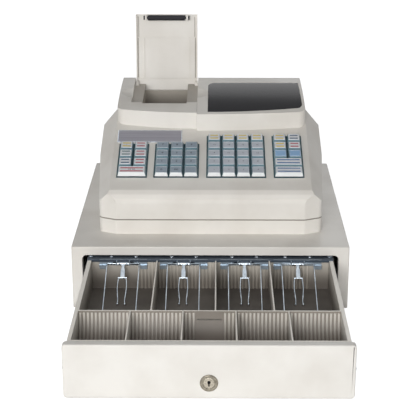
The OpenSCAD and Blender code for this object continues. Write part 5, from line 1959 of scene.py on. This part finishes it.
    def bars(self, w: float, slot: int) -> list[Piece]:
        """Two thin coloured bars on the label.

        Args:
            w: Width of the cap.
            slot: The slot of the bars' colour.

        Returns:
            The bars.
        """
        made = []
        for away in self.bars_apart:
            clear_selection()
            y = self.top_middle() + away
            bpy.ops.mesh.primitive_cube_add(
                size=1, location=(0, y * MM, (self.high - 0.18) * MM),
                scale=((w - self.taper - self.bar_inset) * MM, self.bar_depth * MM, 0.12 * MM))
            bar = settle("bar")
            round_edges(bar, 0.5, 2, lambda a, b, fold: fold > 60 and abs(a.z - b.z) > 0.1)
            bar.data.polygons.foreach_set("material_index", [slot] * len(bar.data.polygons))
            made.append(bar)
        return made

    def mark(self, legend: Legend, slot: int) -> Piece:
        """The small characters in the middle of the label.

        Args:
            legend: What the key shows.
            slot: The slot of the ink.

        Returns:
            The characters.
        """
        words = digits("mark", legend.text, legend.height)
        words.data.transform(Matrix.Translation((0, self.top_middle() * MM, (self.high - 0.17) * MM)))
        words.data.polygons.foreach_set("material_index", [slot] * len(words.data.polygons))
        return words

    def make_plate(self) -> None:
        """Brushes the bare plate above the keys and gives it a bright edge."""
        plate = cad_copy("name_plate", "bare_plate")
        up = deck_matrix().to_3x3() @ Vector((0, 0, 1))
        round_edges(plate, 0.35, 2, lambda a, b, fold: fold > 60)
        with editing(plate, Pick.FACES, lambda c, n: n.dot(up) > 0.99):
            bpy.ops.mesh.inset(thickness=0.8 * MM, depth=-0.1 * MM)
        smooth(plate)
        dress(plate, "root", "brushed_plate", [BRIGHT_ZINC, PLATE], "name_plate")
        largest = max(plate.data.polygons, key=lambda face: face.area if face.normal.dot(up) > 0.99 else 0)
        largest.material_index = 1


# ---------------------------------------------------------------- top housings


@dataclass
class TopHousings:
    """The two arched housings and the dark window.

    Attributes:
        arch_radius: Radius of the arched top.
        apex: Where the arch is highest, and how high.
        half_w: Half the width over both housings.
        back: Where they end.
        front_reach: The front faces lie before this.
        crease: Radius of the edge between the top and the front.
        opening: Radius of the edges round the lid's channel and the window.
    """

    arch_radius: float = 830.0
    apex: tuple[float, float] = (385.0, 261.6)
    half_w: float = 151.5
    back: float = 397.0
    front_reach: float = 243.0
    crease: float = 2.4
    opening: float = 0.6

    def build(self) -> None:
        """Makes and dresses the housings and the window."""
        self.make_housing("printer_housing", "left_housing")
        self.make_housing("display_housing", "right_housing")
        self.make_window()
        dress_node("display_module", BOARD)

    def arch(self, y: float) -> float:
        """Height of the arched top.

        Args:
            y: Place behind the cabinet's front.

        Returns:
            The height in millimetres.
        """
        return self.apex[1] - self.arch_radius + math.sqrt(self.arch_radius ** 2 - (y - self.apex[0]) ** 2)

    def on_top(self, v: Vector) -> bool:
        """Whether a place lies on the arched top."""
        return abs(v.z - self.arch(v.y)) < 0.12

    def on_rim(self, v: Vector) -> bool:
        """Whether a place lies on the outer rim of the top."""
        outer = abs(v.x) > self.half_w - 0.1 or v.y > self.back - 0.1 or v.y < self.front_reach
        return outer and self.on_top(v)

    def make_housing(self, node: str, name: str) -> None:
        """Rounds the crease round a housing's top, and softens its openings.

        Args:
            node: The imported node.
            name: The piece's name.
        """
        piece = cad_copy(node, name)
        lid = TicketPrinter()
        round_edges(piece, self.crease, 4, lambda a, b, fold: fold > 35
                    and self.on_rim(a) and self.on_rim(b))
        round_edges(piece, self.opening, 2, lambda a, b, fold: fold > 45 and self.on_top(a)
                    and self.on_top(b) and not (self.on_rim(a) or self.on_rim(b)))
        smooth(piece, 32)
        dress(piece, "root", "case_plastic", [CASE, RECESS_SHADE], node)
        # The walls and floor of the lid's channel in the housing get painted shade.
        paint(piece, 1, lambda c, n: lid.lid_left - 1 < c.x < lid.lid_right + 1 and c.y > lid.lid_front - 1
              and c.z < self.arch(c.y) - 1.5)

    def make_window(self) -> None:
        """Rounds the window's edge."""
        window = cad_copy("display_window", "dark_window")
        round_edges(window, 0.5, 3, lambda a, b, fold: fold > 50 and abs(a.z - self.arch(a.y) + 0.2) < 0.12
                    and abs(b.z - self.arch(b.y) + 0.2) < 0.12)
        smooth(window)
        dress(window, "root", "smoked_window", [GLASS], "display_window")


# ---------------------------------------------------------------- ticket printer


@dataclass
class TicketPrinter:
    """The printer under the left housing, and its lid.

    Attributes:
        hinge: The lid's axis, behind the cabinet's front and over the counter.
        swing: How far the lid stands open, in degrees.
        lid_left: Left side of the lid.
        lid_right: Right side of the lid.
        lid_front: Front edge of the shut lid.
        step: Where the thick stretch under the shut lid begins.
        thick: Thickness of the lid.
        rib: Thickness of the thick stretch.
        shadow_line: Width of the dark strips beside the lid's edges, which are painted shadow lines.
        shadow_line_insets: How far these strips lie inside the lid's sides, before the step and behind it.
        strip_end: Where the thick stretch ends under the shut lid.
        strip_inset: How far it lies inside the lid's sides.
        stiffener: Width of each long rib on it.
        stiffener_inset: How far their middles lie inside the lid's sides.
    """

    hinge: tuple[float, float] = (384.0, 252.0)
    swing: float = 100.0
    lid_left: float = -129.2
    lid_right: float = -24.0
    lid_front: float = 264.3
    step: float = 303.0
    thick: float = 2.4
    rib: float = 1.2
    shadow_line: float = 1.0
    shadow_line_insets: tuple[float, float] = (4.2, 3.4)
    strip_end: float = 374.0
    strip_inset: float = 3.2
    stiffener: float = 1.4
    stiffener_inset: float = 14.0

    def build(self) -> None:
        """Makes and dresses the printer."""
        for node, finish in (("paper_bucket", BUCKET), ("print_head", STEEL), ("feed_motor", MOTOR),
                             ("motor_pinion", NYLON), ("feed_gear", NYLON)):
            dress_node(node, finish)
        self.make_lid()
        dress_copy("lid_bushings", "bushings", "lid", "white_nylon", NYLON, 0.15)
        dress_copy("platen_shaft", "platen_axle", "platen", "black_plastic", BLACK_AND_SHADE, 0.3)
        dress_copy("platen_roller", "platen_sleeve", "platen", "platen_rubber", ROLLER, 0.6, 3)

    def opened(self) -> Matrix:
        """Swings what is drawn shut to where the open lid stands.

        Returns:
            The matrix in the frame's metres.
        """
        axis = spot(0, *self.hinge)
        turn = Matrix.Rotation(-math.radians(self.swing), 4, "X")
        return Matrix.Translation(axis) @ turn @ Matrix.Translation(-axis)

    def shut(self, v: Vector) -> Vector:
        """Where a place on the open lid lies when it is shut.

        Args:
            v: The place in millimetres.

        Returns:
            The place in millimetres.
        """
        return millimetres(self.opened().inverted() @ spot(*v))

    def make_lid(self) -> None:
        """Rounds the lid, adds the thick stretch and the ribs inside it, lays dark strips beside its edges
        as painted shadow lines, and gives the inner sides of its flanges painted shade.
        """
        lid = cad_copy("printer_lid", "lid_shell")
        top = TopHousings()

        def skin(v: Vector) -> bool:
            """Whether a place lies on the lid's outer face."""
            place = self.shut(v)
            return abs(place.z - top.arch(place.y) + 0.2) < 0.15 and place.y < self.hinge[0]

        round_edges(lid, 0.9, 3, lambda a, b, fold: fold > 50 and skin(a) and skin(b))
        smooth(lid, 34)
        inside, end = self.thick + 0.2, self.strip_end - 2
        parts = [self.strip(top, (self.lid_left + self.strip_inset, self.lid_right - self.strip_inset),
                            (self.step, self.strip_end), inside, self.rib)]
        for x in (self.lid_left + self.stiffener_inset, self.lid_right - self.stiffener_inset):
            parts.append(self.strip(top, (x - self.stiffener / 2, x + self.stiffener / 2),
                                    (self.step + 1, end), inside + self.rib, 1.6))
        # Dark strips beside the lid's edges: painted shadow lines along the flanges.
        shadow_lines = []
        stretches = ((self.lid_front + 4, self.step), (self.step + 1, end))
        depths = (self.thick + 0.1, inside + self.rib + 0.05)
        for inset, along, depth in zip(self.shadow_line_insets, stretches, depths):
            for x in (self.lid_left + inset, self.lid_right - inset - self.shadow_line):
                shadow_lines.append(self.strip(top, (x, x + self.shadow_line), along, depth, 0.3))
        for part in parts + shadow_lines:
            part.data.transform(self.opened())
            smooth(part)
        dress(join("lid_shadow_lines", shadow_lines), "lid", "case_plastic", [SHADOW_LINES])
        dress(lid, "lid", "case_plastic", [CASE, RECESS_SHADE], "printer_lid")
        # The inner sides of the lid's flanges get painted shade.
        paint(lid, 1, lambda c, n: abs(n.x) > 0.9 and self.lid_left + 1 < c.x < self.lid_right - 1)
        dress(join("lid_inner_ribs", parts), "lid", "case_plastic", [CASE])

    def strip(self, top: TopHousings, across: tuple[float, float], along: tuple[float, float], depth: float,
              height: float) -> Piece:
        """A strip that follows the arch under the shut lid.

        Args:
            top: The housings, whose arch it follows.
            across: Its left and right sides.
            along: Where it starts and ends.
            depth: How far it begins under the arch.
            height: How far it stands out.

        Returns:
            The strip, drawn for the shut lid.
        """
        piece = block("strip", (across[0], along[0], -height), (across[1], along[1], 0.2))
        with editing(piece, Pick.EDGES, lambda a, b, fold: abs(a.y - b.y) > 10):
            bpy.ops.mesh.subdivide(number_cuts=10)
        round_edges(piece, 0.3, 2, lambda a, b, fold: fold > 60 and max(a.z, b.z) < -height + NEAR)
        for point in piece.data.vertices:
            point.co.z += (top.arch(millimetres(point.co).y) - depth) * MM
        return piece


# ---------------------------------------------------------------- the whole register


def main() -> None:
    """Builds the studio and every sub-assembly of the register."""
    logging.basicConfig(level=logging.INFO, format="%(name)s: %(message)s")
    for group in (Studio(), Cabinet(), Drawer(), MoneyTray(), ClipBar(), RegisterCase(), Keyboard(),
                  TopHousings(), TicketPrinter()):
        group.build()
        log.info("%s is built", type(group).__name__)


if __name__ == "__main__":
    main()
